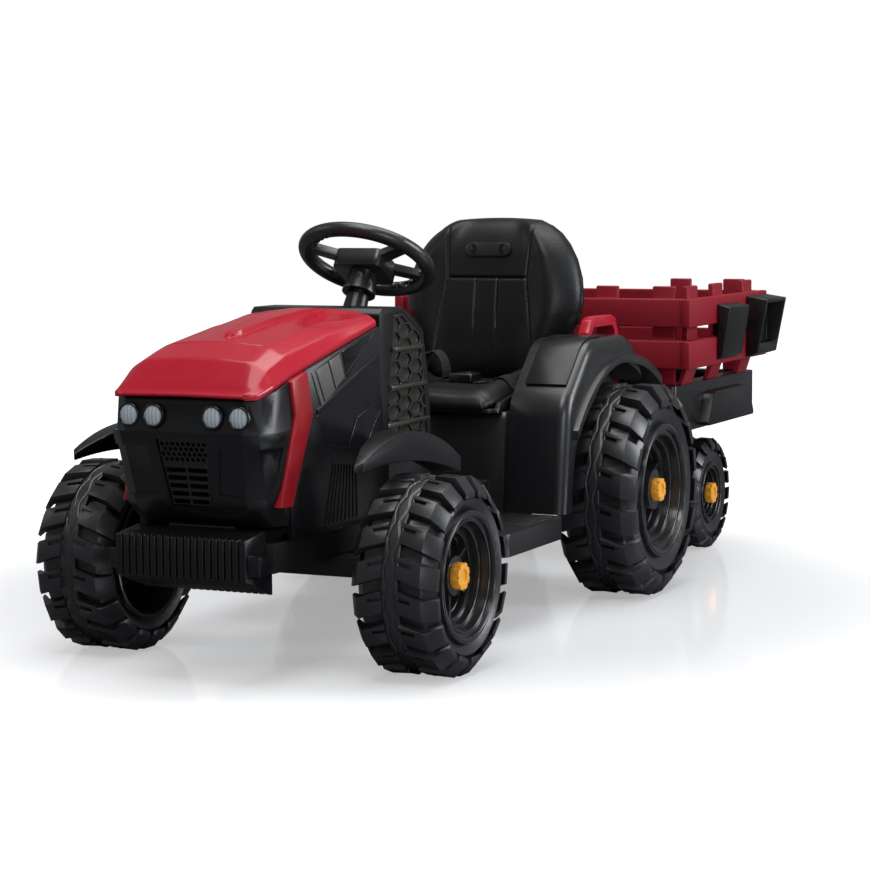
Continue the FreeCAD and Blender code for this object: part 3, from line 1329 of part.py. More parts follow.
# Slatted boards: side posts with a knee at the foot, planks outside the posts
plank_inner = board_half - board_thick
post_inner = plank_inner - post_thick
rows = spread(plank_rows_shares, "zz")
planks = [block(plank_inner, board_half, side_board_front, side_board_back, low, high) for low,
          high in rows]
foot_line = [(bed_half - post_thick, bed_top), (bed_half, bed_top), (plank_inner, post_knee),
             (plank_inner, post_top), (post_inner, post_top),
             (post_inner, post_knee)]
posts = [prism_y(foot_line, share * wheelbase, share * wheelbase + side_post_wide)
         for share in side_posts_shares]
parts["trailer_side_boards"] = both(joined(planks[0], planks[1], *posts))
frames = []
for board, post in ((front_board, front_board + board_thick), (back_board, back_board - post_thick)):
    pieces = [block(seam - plank_inner, plank_inner - seam, board, board + board_thick, low, high)
              for low, high in rows]
    for near, far in spread(end_posts_shares, "xx"):
        upright = block(near, far, post, post + post_thick, bed_top, post_top)
        pieces += [upright, other_side(upright)]
    frames.append(joined(*pieces))
parts["trailer_end_boards"] = Part.makeCompound(frames)

# Trailer axle with its legs, the drawbar and the side brackets
leg = prism_x(spread(leg_shares, "yz"), leg_inner, leg_outer)
hub_inner = trailer_tyre_outer - trailer_tyre_width - seam
spacer = rod(point(leg_outer, trailer_axle_back, trailer_tyre_radius),
             point(hub_inner, trailer_axle_back, trailer_tyre_radius), leg_boss)
shaft = rod(point(-axle_end["trailer"], trailer_axle_back, trailer_tyre_radius),
            point(axle_end["trailer"], trailer_axle_back, trailer_tyre_radius),
            trailer_axle_radius)
parts["trailer_axle"] = joined(shaft, leg, other_side(leg), spacer, other_side(spacer))
bar_line = spread(drawbar_shares, "yz")
eye = rod(point(0, hitch_back, bar_line[0][1]), point(0, hitch_back, bar_line[5][1]), drawbar_eye)
bore = rod(point(0, hitch_back, hitch_low), point(0, hitch_back, hitch_high), hitch_radius + running)
parts["drawbar"] = joined(prism_x(bar_line, -drawbar_half, drawbar_half), eye).cut(bore)
brackets = []
for index, (start, end, low, high, top_reach, low_reach) in enumerate(spread(bracket_shares, "yyzzxx")):
    near = board_half + seam
    solid = prism_y([(near, low), (near, high), (top_reach, high - bracket_wall),
                     (low_reach, low + bracket_wall)], start, end)
    inner_top = top_reach if index else top_reach - bracket_wall
    mouth = overrun if index else 0.0
    scoop = prism_y([(near + bracket_back, low + bracket_wall * 4),
                     (near + bracket_back, high - bracket_wall * 2),
                     (inner_top + mouth, high - bracket_wall * 2),
                     (near + bracket_back * 2 + mouth, low + bracket_wall * 4)],
                    start + bracket_wall, end - bracket_wall if index else end + overrun)
    brackets.append(solid.cut(scoop))
parts["tool_brackets"] = Part.makeCompound(brackets)

# Export, centred along Y
os.makedirs("parts", exist_ok=True)
for name, piece in parts.items():
    piece.translate(point(0, (front_reach - rear_reach) / 2, 0))
    piece.exportStep("parts/" + name + ".step")
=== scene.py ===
"""Looks of a ride-on toy tractor with its trailer, laid over its CAD frame.

Each moulded piece is dressed: a merged copy of the CAD piece gets rounded edges and a
finish built from shader nodes. The hood, the pads, the belt, the tread belts, the
window stripes and small hardware are modelled here.
"""
from __future__ import annotations

import json
import logging
import math
from dataclasses import dataclass, field
from enum import Enum

import bmesh
import bpy
from mathutils import Matrix, Vector

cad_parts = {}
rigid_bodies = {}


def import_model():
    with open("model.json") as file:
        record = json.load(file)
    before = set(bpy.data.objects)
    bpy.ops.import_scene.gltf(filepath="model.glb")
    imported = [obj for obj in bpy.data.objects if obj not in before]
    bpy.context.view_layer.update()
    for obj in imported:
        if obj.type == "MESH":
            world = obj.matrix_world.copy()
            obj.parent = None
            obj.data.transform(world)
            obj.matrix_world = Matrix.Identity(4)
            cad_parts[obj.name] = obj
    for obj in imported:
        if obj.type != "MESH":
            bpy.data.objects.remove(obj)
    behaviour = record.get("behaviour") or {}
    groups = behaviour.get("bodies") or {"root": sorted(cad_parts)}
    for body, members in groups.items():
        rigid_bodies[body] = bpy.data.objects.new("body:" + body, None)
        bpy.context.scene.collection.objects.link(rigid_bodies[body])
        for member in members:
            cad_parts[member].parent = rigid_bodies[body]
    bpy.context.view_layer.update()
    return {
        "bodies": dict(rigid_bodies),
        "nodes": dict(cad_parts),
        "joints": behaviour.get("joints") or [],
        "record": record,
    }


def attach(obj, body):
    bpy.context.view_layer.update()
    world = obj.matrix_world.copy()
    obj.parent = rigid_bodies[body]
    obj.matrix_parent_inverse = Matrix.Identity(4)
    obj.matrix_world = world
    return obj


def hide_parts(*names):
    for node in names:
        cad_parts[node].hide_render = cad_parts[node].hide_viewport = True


LOG = logging.getLogger("tractor")
CHASSIS = "chassis"
FRONT_AXLE_Y = -0.475
SIDES = ("left", "right")
Rows = tuple[tuple[float, ...], ...]


class Grain(Enum):
    """How the fine relief of a finish is formed."""

    MOULD = "mould"
    LEATHER = "leather"
    WEBBING = "webbing"
    METAL = "metal"


@dataclass(frozen=True)
class Finish:
    """One finish: its colour, gloss and relief.

    Args:
        slot: its name, which is also the record's material slot where one has it.
        colour: linear base colour.
        tint: second colour that the broad mottling moves towards.
        rough: lowest and highest roughness.
        grain: the kind of relief.
        scale: cells of relief per metre.
        relief: height of the relief in metres.
        coat: weight of the clear gloss layer.
        metallic: metal share.
        shine: strength of the mirror-like reflection.
    """

    slot: str
    colour: tuple[float, float, float]
    tint: tuple[float, float, float]
    rough: tuple[float, float]
    grain: Grain = Grain.MOULD
    scale: float = 900.0
    relief: float = 0.00012
    coat: float = 0.0
    metallic: float = 0.0
    shine: float = 0.5


FINISHES: tuple[Finish, ...] = (
    Finish("red_gloss", (0.42, 0.008, 0.024), (0.36, 0.007, 0.020), (0.22, 0.30), scale=60.0, relief=0.00004,
           coat=0.2, shine=0.27),
    Finish("red_trim", (0.33, 0.009, 0.015), (0.26, 0.007, 0.012), (0.28, 0.36), scale=60.0, relief=0.00005,
           coat=0.1, shine=0.3),
    Finish("red_matte", (0.24, 0.008, 0.018), (0.18, 0.007, 0.014), (0.42, 0.55), scale=700.0, shine=0.2),
    Finish("black_plastic", (0.0032, 0.0034, 0.004), (0.0052, 0.0054, 0.0063), (0.26, 0.36), scale=1100.0,
           shine=0.36),
    # A lighter copy of black_plastic: its paler base and tint are painted light, standing in for the brighter sheen and
    # highlights that the body tub, the rear fenders and the steering wheel catch.
    Finish("painted_lit_black", (0.0066, 0.0069, 0.0078), (0.0090, 0.0094, 0.0105), (0.26, 0.36), scale=1100.0,
           shine=0.62),
    # Glossy black for the rims: its high shine is real gloss, while its base, paler than black_gloss, is partly painted
    # highlight for the rims' bright edges.
    Finish("rim_black", (0.0085, 0.0087, 0.0094), (0.0115, 0.0118, 0.0126), (0.18, 0.27), scale=300.0,
           relief=0.00006, shine=1.0),
    Finish("black_gloss", (0.0038, 0.004, 0.0046), (0.006, 0.0062, 0.007), (0.20, 0.30), scale=300.0,
           relief=0.00006, shine=0.5),
    Finish("black_glass", (0.0025, 0.0026, 0.003), (0.0035, 0.0036, 0.004), (0.06, 0.1), scale=300.0, relief=0.00002),
    Finish("tyre_black", (0.0100, 0.0102, 0.0115), (0.0155, 0.0158, 0.0176), (0.28, 0.40), scale=500.0,
           relief=0.00014, shine=0.6),
    Finish("cap_yellow", (0.92, 0.43, 0.040), (0.84, 0.37, 0.032), (0.26, 0.36), scale=200.0, relief=0.00005,
           coat=0.2),
    Finish("steel_black", (0.006, 0.006, 0.0065), (0.010, 0.010, 0.0105), (0.38, 0.5), Grain.METAL, 500.0,
           shine=0.36),
    Finish("steel_bare", (0.45, 0.45, 0.46), (0.36, 0.36, 0.37), (0.28, 0.42), Grain.METAL, 400.0, 0.00005, 0.0, 1.0),
    Finish("seat_leather", (0.0045, 0.0046, 0.0052), (0.0075, 0.0078, 0.0086), (0.32, 0.44), Grain.LEATHER, 420.0,
           0.0002, shine=0.27),
    Finish("belt_web", (0.006, 0.006, 0.0065), (0.012, 0.012, 0.013), (0.6, 0.75), Grain.WEBBING, 500.0, 0.0005,
           shine=0.3),
    Finish("case_grey", (0.09, 0.09, 0.095), (0.07, 0.07, 0.075), (0.45, 0.55), scale=700.0),
    Finish("window_grey", (0.115, 0.115, 0.105), (0.10, 0.10, 0.092), (0.25, 0.32), scale=300.0, relief=0.00004),
    Finish("comb_bronze", (0.020, 0.018, 0.0155), (0.028, 0.025, 0.021), (0.26, 0.36), Grain.METAL, 300.0, 0.00004,
           0.0, 0.3),
    Finish("bar_bronze", (0.17, 0.145, 0.12), (0.13, 0.11, 0.09), (0.2, 0.28), Grain.METAL, 300.0, 0.00004, 0.0, 0.9),
)


@dataclass
class FinishShop:
    """Builds the shared shader group and one material for each finish.

    Args:
        broad_scale: scale of the broad mottling, and broad_detail its detail.
        fine_detail: detail of the fine mottling.
        blend: share of the fine mottling in the colour.
        rough_span: the part of the broad mottling over which a surface goes from smooth to dull.
        relief_strength: strength of a finish's relief.
        coat_rough: roughness of the clear gloss layer.
        flute_scale: how close the lenses' flutes lie, with flute_strength and flute_depth for their relief.
        lens_tones: the two colours laid across the lenses' flutes, the lighter on their crests as painted highlight and
            the darker in their troughs as painted shade, with lens_rough and lens_coat for their gloss.
        mottle: the shader group that the finishes share.
        materials: the material of each finish, by its slot.
    """

    broad_scale: float = 9.0
    broad_detail: float = 3.0
    fine_detail: float = 2.0
    blend: float = 0.5
    rough_span: tuple[float, float] = (0.3, 0.7)
    relief_strength: float = 0.6
    coat_rough: float = 0.08
    flute_scale: float = 70.0
    flute_strength: float = 0.4
    flute_depth: float = 0.0006
    lens_tones: Rows = ((0.26, 0.31, 0.34, 1.0), (0.42, 0.47, 0.50, 1.0))
    lens_rough: float = 0.12
    lens_coat: float = 0.5
    mottle: bpy.types.NodeTree = field(init=False)
    materials: dict[str, bpy.types.Material] = field(init=False)

    def __post_init__(self) -> None:
        """Build the group and every material."""
        self.mottle = self._mottle_group()
        self.materials = {finish.slot: self._material(finish) for finish in FINISHES}
        self.materials["lens_clear"] = self._lens()

    def _mottle_group(self) -> bpy.types.NodeTree:
        """Make a group that mottles a colour and a roughness over the surface.

        Returns:
            The group, with the mottled colour, the roughness and a fine height as outputs.
        """
        tree = bpy.data.node_groups.new("surface_mottle", "ShaderNodeTree")
        sockets = (("Vector", "INPUT", "Vector"), ("Scale", "INPUT", "Float"), ("Colour", "INPUT", "Color"),
                   ("Tint", "INPUT", "Color"), ("Smooth", "INPUT", "Float"), ("Dull", "INPUT", "Float"),
                   ("Colour", "OUTPUT", "Color"), ("Roughness", "OUTPUT", "Float"), ("Height", "OUTPUT", "Float"))
        for name, way, kind in sockets:
            tree.interface.new_socket(name, in_out=way, socket_type="NodeSocket" + kind)
        nodes, links = tree.nodes, tree.links
        inp, out = nodes.new("NodeGroupInput"), nodes.new("NodeGroupOutput")
        broad, fine = nodes.new("ShaderNodeTexNoise"), nodes.new("ShaderNodeTexNoise")
        broad.inputs["Scale"].default_value = self.broad_scale
        broad.inputs["Detail"].default_value = self.broad_detail
        fine.inputs["Detail"].default_value = self.fine_detail
        mix, span = nodes.new("ShaderNodeMix"), nodes.new("ShaderNodeMapRange")
        mix.data_type = "RGBA"
        both = nodes.new("ShaderNodeMath")
        both.operation = "MULTIPLY_ADD"
        both.inputs[1].default_value = self.blend
        links.new(inp.outputs["Vector"], broad.inputs["Vector"])
        links.new(inp.outputs["Vector"], fine.inputs["Vector"])
        links.new(inp.outputs["Scale"], fine.inputs["Scale"])
        links.new(fine.outputs["Fac"], both.inputs[0])
        half = nodes.new("ShaderNodeMath")
        half.operation = "MULTIPLY"
        half.inputs[1].default_value = 1.0 - self.blend
        links.new(broad.outputs["Fac"], half.inputs[0])
        links.new(half.outputs[0], both.inputs[2])
        links.new(both.outputs[0], mix.inputs["Factor"])
        links.new(inp.outputs["Colour"], mix.inputs["A"])
        links.new(inp.outputs["Tint"], mix.inputs["B"])
        span.inputs["From Min"].default_value, span.inputs["From Max"].default_value = self.rough_span
        links.new(broad.outputs["Fac"], span.inputs["Value"])
        links.new(inp.outputs["Smooth"], span.inputs["To Min"])
        links.new(inp.outputs["Dull"], span.inputs["To Max"])
        links.new(mix.outputs["Result"], out.inputs["Colour"])
        links.new(span.outputs["Result"], out.inputs["Roughness"])
        links.new(fine.outputs["Fac"], out.inputs["Height"])
        return tree

    def _material(self, finish: Finish) -> bpy.types.Material:
        """Return the material of one finish.

        Args:
            finish: its colours, gloss and relief.
        Returns:
            A node material that reads Object coordinates.
        """
        material = bpy.data.materials.new(finish.slot)
        material.use_nodes = True
        nodes, links = material.node_tree.nodes, material.node_tree.links
        shader = nodes["Principled BSDF"]
        place, group, bump = nodes.new("ShaderNodeTexCoord"), nodes.new("ShaderNodeGroup"), nodes.new("ShaderNodeBump")
        group.node_tree = self.mottle
        group.inputs["Scale"].default_value = finish.scale
        group.inputs["Colour"].default_value = (*finish.colour, 1.0)
        group.inputs["Tint"].default_value = (*finish.tint, 1.0)
        group.inputs["Smooth"].default_value, group.inputs["Dull"].default_value = finish.rough
        links.new(place.outputs["Object"], group.inputs["Vector"])
        height = group.outputs["Height"]
        if finish.grain is Grain.LEATHER:
            height = self._leather(nodes, links, place, finish.scale)
        elif finish.grain is Grain.WEBBING:
            height = self._webbing(nodes, links, place, finish.scale)
        bump.inputs["Strength"].default_value = self.relief_strength
        bump.inputs["Distance"].default_value = finish.relief
        links.new(height, bump.inputs["Height"])
        links.new(group.outputs["Colour"], shader.inputs["Base Color"])
        links.new(group.outputs["Roughness"], shader.inputs["Roughness"])
        links.new(bump.outputs["Normal"], shader.inputs["Normal"])
        shader.inputs["Metallic"].default_value = finish.metallic
        shader.inputs["Coat Weight"].default_value = finish.coat
        shader.inputs["Specular IOR Level"].default_value = finish.shine
        shader.inputs["Coat Roughness"].default_value = self.coat_rough
        return material

    @staticmethod
    def _leather(nodes: bpy.types.Nodes, links: bpy.types.NodeLinks, place: bpy.types.Node,
                 scale: float) -> bpy.types.NodeSocket:
        """Add a pebbled grain to a material.

        Args:
            nodes: the material's nodes.
            links: the material's links.
            place: the node that gives Object coordinates.
            scale: pebbles per metre.
        Returns:
            The socket of its height.
        """
        cells = nodes.new("ShaderNodeTexVoronoi")
        cells.feature = "SMOOTH_F1"
        cells.inputs["Scale"].default_value = scale
        links.new(place.outputs["Object"], cells.inputs["Vector"])
        return cells.outputs["Distance"]

    @staticmethod
    def _webbing(nodes: bpy.types.Nodes, links: bpy.types.NodeLinks, place: bpy.types.Node,
                 scale: float) -> bpy.types.NodeSocket:
        """Add woven ribs to a material.

        Args:
            nodes: the material's nodes.
            links: the material's links.
            place: the node that gives Object coordinates.
            scale: how close the ribs lie.
        Returns:
            The socket of its height.
        """
        wave = nodes.new("ShaderNodeTexWave")
        wave.bands_direction = "X"
        wave.inputs["Scale"].default_value = scale
        links.new(place.outputs["Object"], wave.inputs["Vector"])
        return wave.outputs["Fac"]

    def _lens(self) -> bpy.types.Material:
        """Make the fluted lens of the lamps.

        Returns:
            Its material.
        """
        material = bpy.data.materials.new("lens_clear")
        material.use_nodes = True
        nodes, links = material.node_tree.nodes, material.node_tree.links
        shader = nodes["Principled BSDF"]
        place, wave, bump = nodes.new("ShaderNodeTexCoord"), nodes.new("ShaderNodeTexWave"), nodes.new("ShaderNodeBump")
        wave.bands_direction = "X"
        wave.inputs["Scale"].default_value = self.flute_scale
        bump.inputs["Strength"].default_value = self.flute_strength
        bump.inputs["Distance"].default_value = self.flute_depth
        links.new(place.outputs["Object"], wave.inputs["Vector"])
        links.new(wave.outputs["Fac"], bump.inputs["Height"])
        links.new(bump.outputs["Normal"], shader.inputs["Normal"])
        # Painted highlight and painted shade on the lenses: the flute height picks the lighter tone on each crest and
        # the darker tone in each trough.
        tone = nodes.new("ShaderNodeValToRGB")
        for stop, colour in zip(tone.color_ramp.elements, self.lens_tones):
            stop.color = colour
        links.new(wave.outputs["Fac"], tone.inputs["Fac"])
        links.new(tone.outputs["Color"], shader.inputs["Base Color"])
        shader.inputs["Roughness"].default_value = self.lens_rough
        shader.inputs["Coat Weight"].default_value = self.lens_coat
        return material


def settle(piece: bpy.types.Object, body: str = CHASSIS, node: str | None = None) -> None:
    """Args:
        piece: the piece.
        body: the body that it rides on.
        node: the CAD piece that it stands for, if it does.
    """
    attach(piece, body)
    if node:
        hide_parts(node)
    LOG.info("%s: rides on %s, %d faces", piece.name, body, len(piece.data.polygons))


def only(obj: bpy.types.Object) -> None:
    """Select one object alone and make it active.

    Args:
        obj: the object.
    """
    bpy.ops.object.select_all(action="DESELECT")
    obj.select_set(True)
    bpy.context.view_layer.objects.active = obj


def join(first: bpy.types.Object, others: list[bpy.types.Object]) -> None:
    """Join other objects into a first one.

    Args:
        first: the object that stays.
        others: the objects that go into it.
    """
    only(first)
    for other in others:
        other.select_set(True)
    bpy.ops.object.join()


def place_applied() -> bpy.types.Object:
    """Move the active object's place, turn and size into its mesh, and return it."""
    bpy.ops.object.transform_apply(location=True, rotation=True, scale=True)
    return bpy.context.active_object


def apply_all(obj: bpy.types.Object) -> None:
    """Apply every modifier of an object in turn.

    Args:
        obj: the object.
    """
    only(obj)
    for modifier in list(obj.modifiers):
        bpy.ops.object.modifier_apply(modifier=modifier.name)


def smooth(obj: bpy.types.Object, degrees: float = 32.0) -> None:
    """Shade an object smooth, with its sharp edges kept.

    Args:
        obj: the object.
        degrees: edges sharper than this stay sharp.
    """
    only(obj)
    bpy.ops.object.shade_smooth_by_angle(angle=math.radians(degrees))


def bounds(node: bpy.types.Object) -> tuple[Vector, Vector]:
    """Measure a piece.

    Args:
        node: the piece.
    Returns:
        Its lowest and its highest corner.
    """
    corners = [node.matrix_world @ Vector(corner) for corner in node.bound_box]
    return (Vector(tuple(min(c[k] for c in corners) for k in range(3))),
            Vector(tuple(max(c[k] for c in corners) for k in range(3))))


def raw_mesh(name: str, verts: list, faces: list) -> bpy.types.Object:
    """Make an object of given corners and faces that points outwards.

    Args:
        name: the object's name.
        verts: corner positions.
        faces: corner numbers of each face.
    Returns:
        The new object.
    """
    data = bpy.data.meshes.new(name)
    data.from_pydata(verts, [], faces)
    piece = bpy.data.objects.new(name, data)
    bpy.context.scene.collection.objects.link(piece)
    only(piece)
    bpy.ops.object.mode_set(mode="EDIT")
    bpy.ops.mesh.select_all(action="SELECT")
    bpy.ops.mesh.normals_make_consistent(inside=False)
    bpy.ops.object.mode_set(mode="OBJECT")
    return piece


def joined_mesh(name: str, verts: list, faces: list, material: bpy.types.Material, angle: float) -> bpy.types.Object:
    """Make a smooth finished object of given corners and faces.

    Args:
        name: the object's name.
        verts: corner positions.
        faces: corner numbers of each face.
        material: its finish.
        angle: edges sharper than this stay sharp, in degrees.
    Returns:
        The new object.
    """
    piece = raw_mesh(name, verts, faces)
    piece.data.materials.append(material)
    smooth(piece, angle)
    return piece


@dataclass(frozen=True)
class LugSlots:
    """The short slot that runs from the tread belt into each lug of a tyre.

    Args:
        count: lugs in a row.
        reach: start and end of a slot as shares of the tyre's half-width.
        lean: tangential place of a slot at its start and end, as shares of the radius.
        wide: a slot's width as a share of the radius.
        deep: its depth as a share of the radius.
        over: how far the cut runs past the lug's top, as a share of the radius.
    """

    count: int = 18
    reach: tuple[float, float] = (0.10, 0.50)
    lean: tuple[float, float] = (-0.085, -0.045)
    wide: float = 0.040
    deep: float = 0.036
    over: float = 0.02

    def cut(self, tyre: bpy.types.Object) -> None:
        """Cut the slots of both rows.

        Args:
            tyre: the tyre's skin, before its edges are rounded.
        """
        low, high = bounds(tyre)
        middle, radius, half = (low + high) / 2, (high.z - low.z) / 2, (high.x - low.x) / 2
        verts, faces = [], []
        for side in (-1.0, 1.0):
            for index in range(self.count):
                first, turn = len(verts), 2.0 * math.pi * index / self.count
                for share, lean in zip(self.reach, self.lean):
                    for across, level in ((-1, -self.deep), (1, -self.deep), (1, self.over), (-1, self.over)):
                        y, z = radius * (lean + across * self.wide / 2), -radius * (1.0 + level)
                        verts.append((middle.x + side * half * share,
                                      middle.y + y * math.cos(turn) - z * math.sin(turn),
                                      middle.z + y * math.sin(turn) + z * math.cos(turn)))
                quads = ((0, 1, 2, 3), (7, 6, 5, 4), (0, 4, 5, 1), (1, 5, 6, 2), (2, 6, 7, 3), (3, 7, 4, 0))
                faces += [tuple(first + k for k in quad) for quad in quads]
        tool = raw_mesh("lug_slots", verts, faces)
        slots = tyre.modifiers.new("slots", "BOOLEAN")
        slots.operation = "DIFFERENCE"
        slots.solver = "EXACT"
        slots.object = tool
        apply_all(tyre)
        data = tool.data
        bpy.data.objects.remove(tool)
        bpy.data.meshes.remove(data)


@dataclass
class FrameDresser:
    """Gives every CAD piece its finish, and the seen ones rounded edges.

    Args:
        shop: the finishes.
        default_round: edge radius of a piece that rounds doesn't name, in metres.
        rounds: edge radius in metres for each dressed piece.
        looks: pieces whose finish differs from their slot's.
        plain: pieces that stay as they are, because they are hidden or already round.
        remade: pieces that another class models.
        merge: corners closer than this become one.
        flat_degrees: faces that differ by less than this become one.
        edge_degrees: edges sharper than this are rounded.
    """

    frame: dict
    shop: FinishShop
    default_round: float = 0.0012
    rounds: dict[str, float] = field(default_factory=lambda: {
        "front_shell": 0.0025, "body_tub": 0.004, "dash_cowl": 0.004, "front_weights": 0.0015, "fender_covers": 0.003,
        "grab_handles": 0.004, "seat_shell": 0.002, "trailer_bed": 0.003, "trailer_side_boards": 0.002,
        "trailer_end_boards": 0.002, "tool_brackets": 0.0016, "steering_wheel": 0.001, "honeycomb_panels": 0.0006,
        "grille_insert": 0.0005, "trim_strips": 0.0015, "horn_button": 0.0006, "tie_rod": 0.0003,
        **{f"{name}_{side}": radius for side in SIDES for name, radius in (
            ("front_fender", 0.006), ("rear_fender", 0.005), ("knuckle", 0.0003), ("front_tyre", 0.002),
            ("rear_tyre", 0.0024))}})
    looks: dict[str, str] = field(default_factory=lambda: {
        # The body tub, the steering wheel and the rear fenders take the paler black copy, whose lighter base is painted
        # light.
        "honeycomb_panels": "comb_bronze", "body_tub": "painted_lit_black", "steering_wheel": "painted_lit_black",
        **{f"rear_fender_{side}": "painted_lit_black" for side in SIDES},
        # The rims take the rim finish, whose paler base is partly painted highlight.
        **{f"{row}_rim_{side}": "rim_black" for row in ("front", "rear", "trailer") for side in SIDES}})
    plain: tuple[str, ...] = ("battery", "drive_gearboxes", "steering_shaft", "headlight_lenses", "hitch_pin",
                              "rear_axle")
    remade: tuple[str, ...] = ("seat_cushion", "seat_back", "seat_belt", "hood")
    merge: float = 0.00002
    flat_degrees: float = 0.5
    edge_degrees: float = 28.0

    def dress(self) -> None:
        """Dress every node."""
        slots = {entry["node"]: entry["material_slot"] for entry in self.frame["record"]["subparts"]}
        homes = {node: body for body, nodes in self.frame["record"]["behaviour"]["bodies"].items() for node in nodes}
        for name, node in self.frame["nodes"].items():
            material = self.shop.materials[self.looks.get(name, slots[name])]
            node.data.materials.clear()
            node.data.materials.append(material)
            if name in self.plain or name in self.remade:
                continue
            skin = self._rounded(node, self.rounds.get(name, self.default_round))
            skin.name = name + "_skin"
            settle(skin, homes[name], name)

    def _rounded(self, node: bpy.types.Object, radius: float) -> bpy.types.Object:
        """Make a merged copy of a CAD piece with its edges rounded, and slots in it where it is a tyre.

        Args:
            node: the CAD piece.
            radius: the rounding in metres.
        Returns:
            The copy.
        """
        mesh = node.data.copy()
        mesh.transform(node.matrix_world)
        copy = bpy.data.objects.new(node.name + "_skin", mesh)
        bpy.context.scene.collection.objects.link(copy)
        only(copy)
        bpy.ops.object.mode_set(mode="EDIT")
        bpy.ops.mesh.select_all(action="SELECT")
        bpy.ops.mesh.remove_doubles(threshold=self.merge)
        bpy.ops.mesh.dissolve_limited(angle_limit=math.radians(self.flat_degrees))
        bpy.ops.object.mode_set(mode="OBJECT")
        if "_tyre_" in node.name:
            LugSlots().cut(copy)
        bevel = copy.modifiers.new("rounding", "BEVEL")
        bevel.width = radius
        bevel.segments = 2
        bevel.limit_method = "ANGLE"
        bevel.angle_limit = math.radians(self.edge_degrees)
        bevel.use_clamp_overlap = True
        bevel.harden_normals = False
        apply_all(copy)
        smooth(copy)
        return copy


def eased(table: Rows, place: float, window: float) -> tuple[float, ...]:
    """Read a table's row at a place, with its corners eased over a window.

    Args:
        table: rows that start with their place, in rising order.
        place: where to read it.
        window: half the length over which corners are eased.
    Returns:
        The row's values without its place.
    """
    total = [0.0] * (len(table[0]) - 1)
    steps = (-1.0, -0.6, -0.2, 0.2, 0.6, 1.0)
    reach = min(window, place - table[0][0], table[-1][0] - place)
    for step in steps:
        here = place + step * max(reach, 0.0)
        low, high = table[0], table[1]
        for low, high in zip(table, table[1:]):
            if here <= high[0]:
                break
        share = (here - low[0]) / (high[0] - low[0])
        for k in range(len(total)):
            total[k] += (low[k + 1] + (high[k + 1] - low[k + 1]) * share) / len(steps)
    return tuple(total)


@dataclass
class TreadBelts:
    """The flat belt round the middle of each tyre, with a zigzag groove along each of its edges.

    Args:
        shop: the finishes.
        pitches: zigzags round a tyre, as many as its lugs.
        steps: steps round each zigzag, and across the corners over the belt's width.
        half_share: half-width as a share of the tyre's half-width.
        drop_share: how far its face lies below the lugs' tops, as a share of the radius.
        foot_share: how far its foot lies below them.
        groove: depth of the grooves.
        groove_half: half-width of a groove.
        line_share: a groove's mean distance from the middle, and the size of its swing, as shares of the half-width.
        edge_share: how much of the half-width rounds off at the edge.
        edge_drop: how far the edge drops there.
        keep_degrees: edges sharper than this stay crisp.
    """

    frame: dict
    shop: FinishShop
    pitches: int = 18
    steps: int = 30
    across: int = 27
    half_share: float = 0.19
    drop_share: float = 0.024
    foot_share: float = 0.10
    groove: float = 0.0011
    groove_half: float = 0.0010
    line_share: float = 0.5
    edge_share: float = 0.14
    edge_drop: float = 0.0009
    keep_degrees: float = 40.0

    def build(self) -> None:
        """Lay a belt round every tyre."""
        for body, nodes in self.frame["record"]["behaviour"]["bodies"].items():
            for name in nodes:
                if "_tyre_" in name:
                    belt = self._belt(self.frame["nodes"][name], name.replace("tyre", "tread_belt"))
                    settle(belt, body)

    def _belt(self, tyre: bpy.types.Object, name: str) -> bpy.types.Object:
        """Make the belt of one tyre as a closed ring.

        Args:
            tyre: the CAD piece.
            name: the belt's name.
        Returns:
            The belt.
        """
        low, high = bounds(tyre)
        middle, radius = (low + high) / 2, (high.z - low.z) / 2
        half = (high.x - low.x) / 2 * self.half_share
        face, foot = radius * (1.0 - self.drop_share), radius * (1.0 - self.foot_share)
        around, wide = self.pitches * self.steps, self.across + 2
        verts, faces = [], []
        for i in range(around):
            turn = 2.0 * math.pi * i / around
            swing = abs(2.0 * (i % self.steps) / self.steps - 1.0) - 0.5
            for j in range(-1, self.across + 1):
                x = half * max(-1.0, min(1.0, 2.0 * j / (self.across - 1) - 1.0))
                level = foot if j in (-1, self.across) else face - self._drawn(x, half, swing)
                verts.append((middle.x + x, middle.y + level * math.sin(turn), middle.z + level * math.cos(turn)))
            for j in range(wide):
                a, b = i * wide, (i + 1) % around * wide
                faces.append((a + j, a + (j + 1) % wide, b + (j + 1) % wide, b + j))
        return joined_mesh(name, verts, faces, self.shop.materials["tyre_black"], self.keep_degrees)

    def _drawn(self, x: float, half: float, swing: float) -> float:
        """Measure how far the grooves and the rounded edges lower the face at a point.

        Args:
            x: the point's distance from the belt's middle.
            half: the belt's half-width.
            swing: where the zigzag stands, from -0.5 to 0.5.
        Returns:
            The drop in metres.
        """
        edge = max(0.0, abs(x) / half - (1.0 - self.edge_share)) / self.edge_share
        line = self.line_share * half * (1.0 + swing)
        return self.groove * math.exp(-((abs(x) - line) / self.groove_half) ** 2) + self.edge_drop * edge * edge


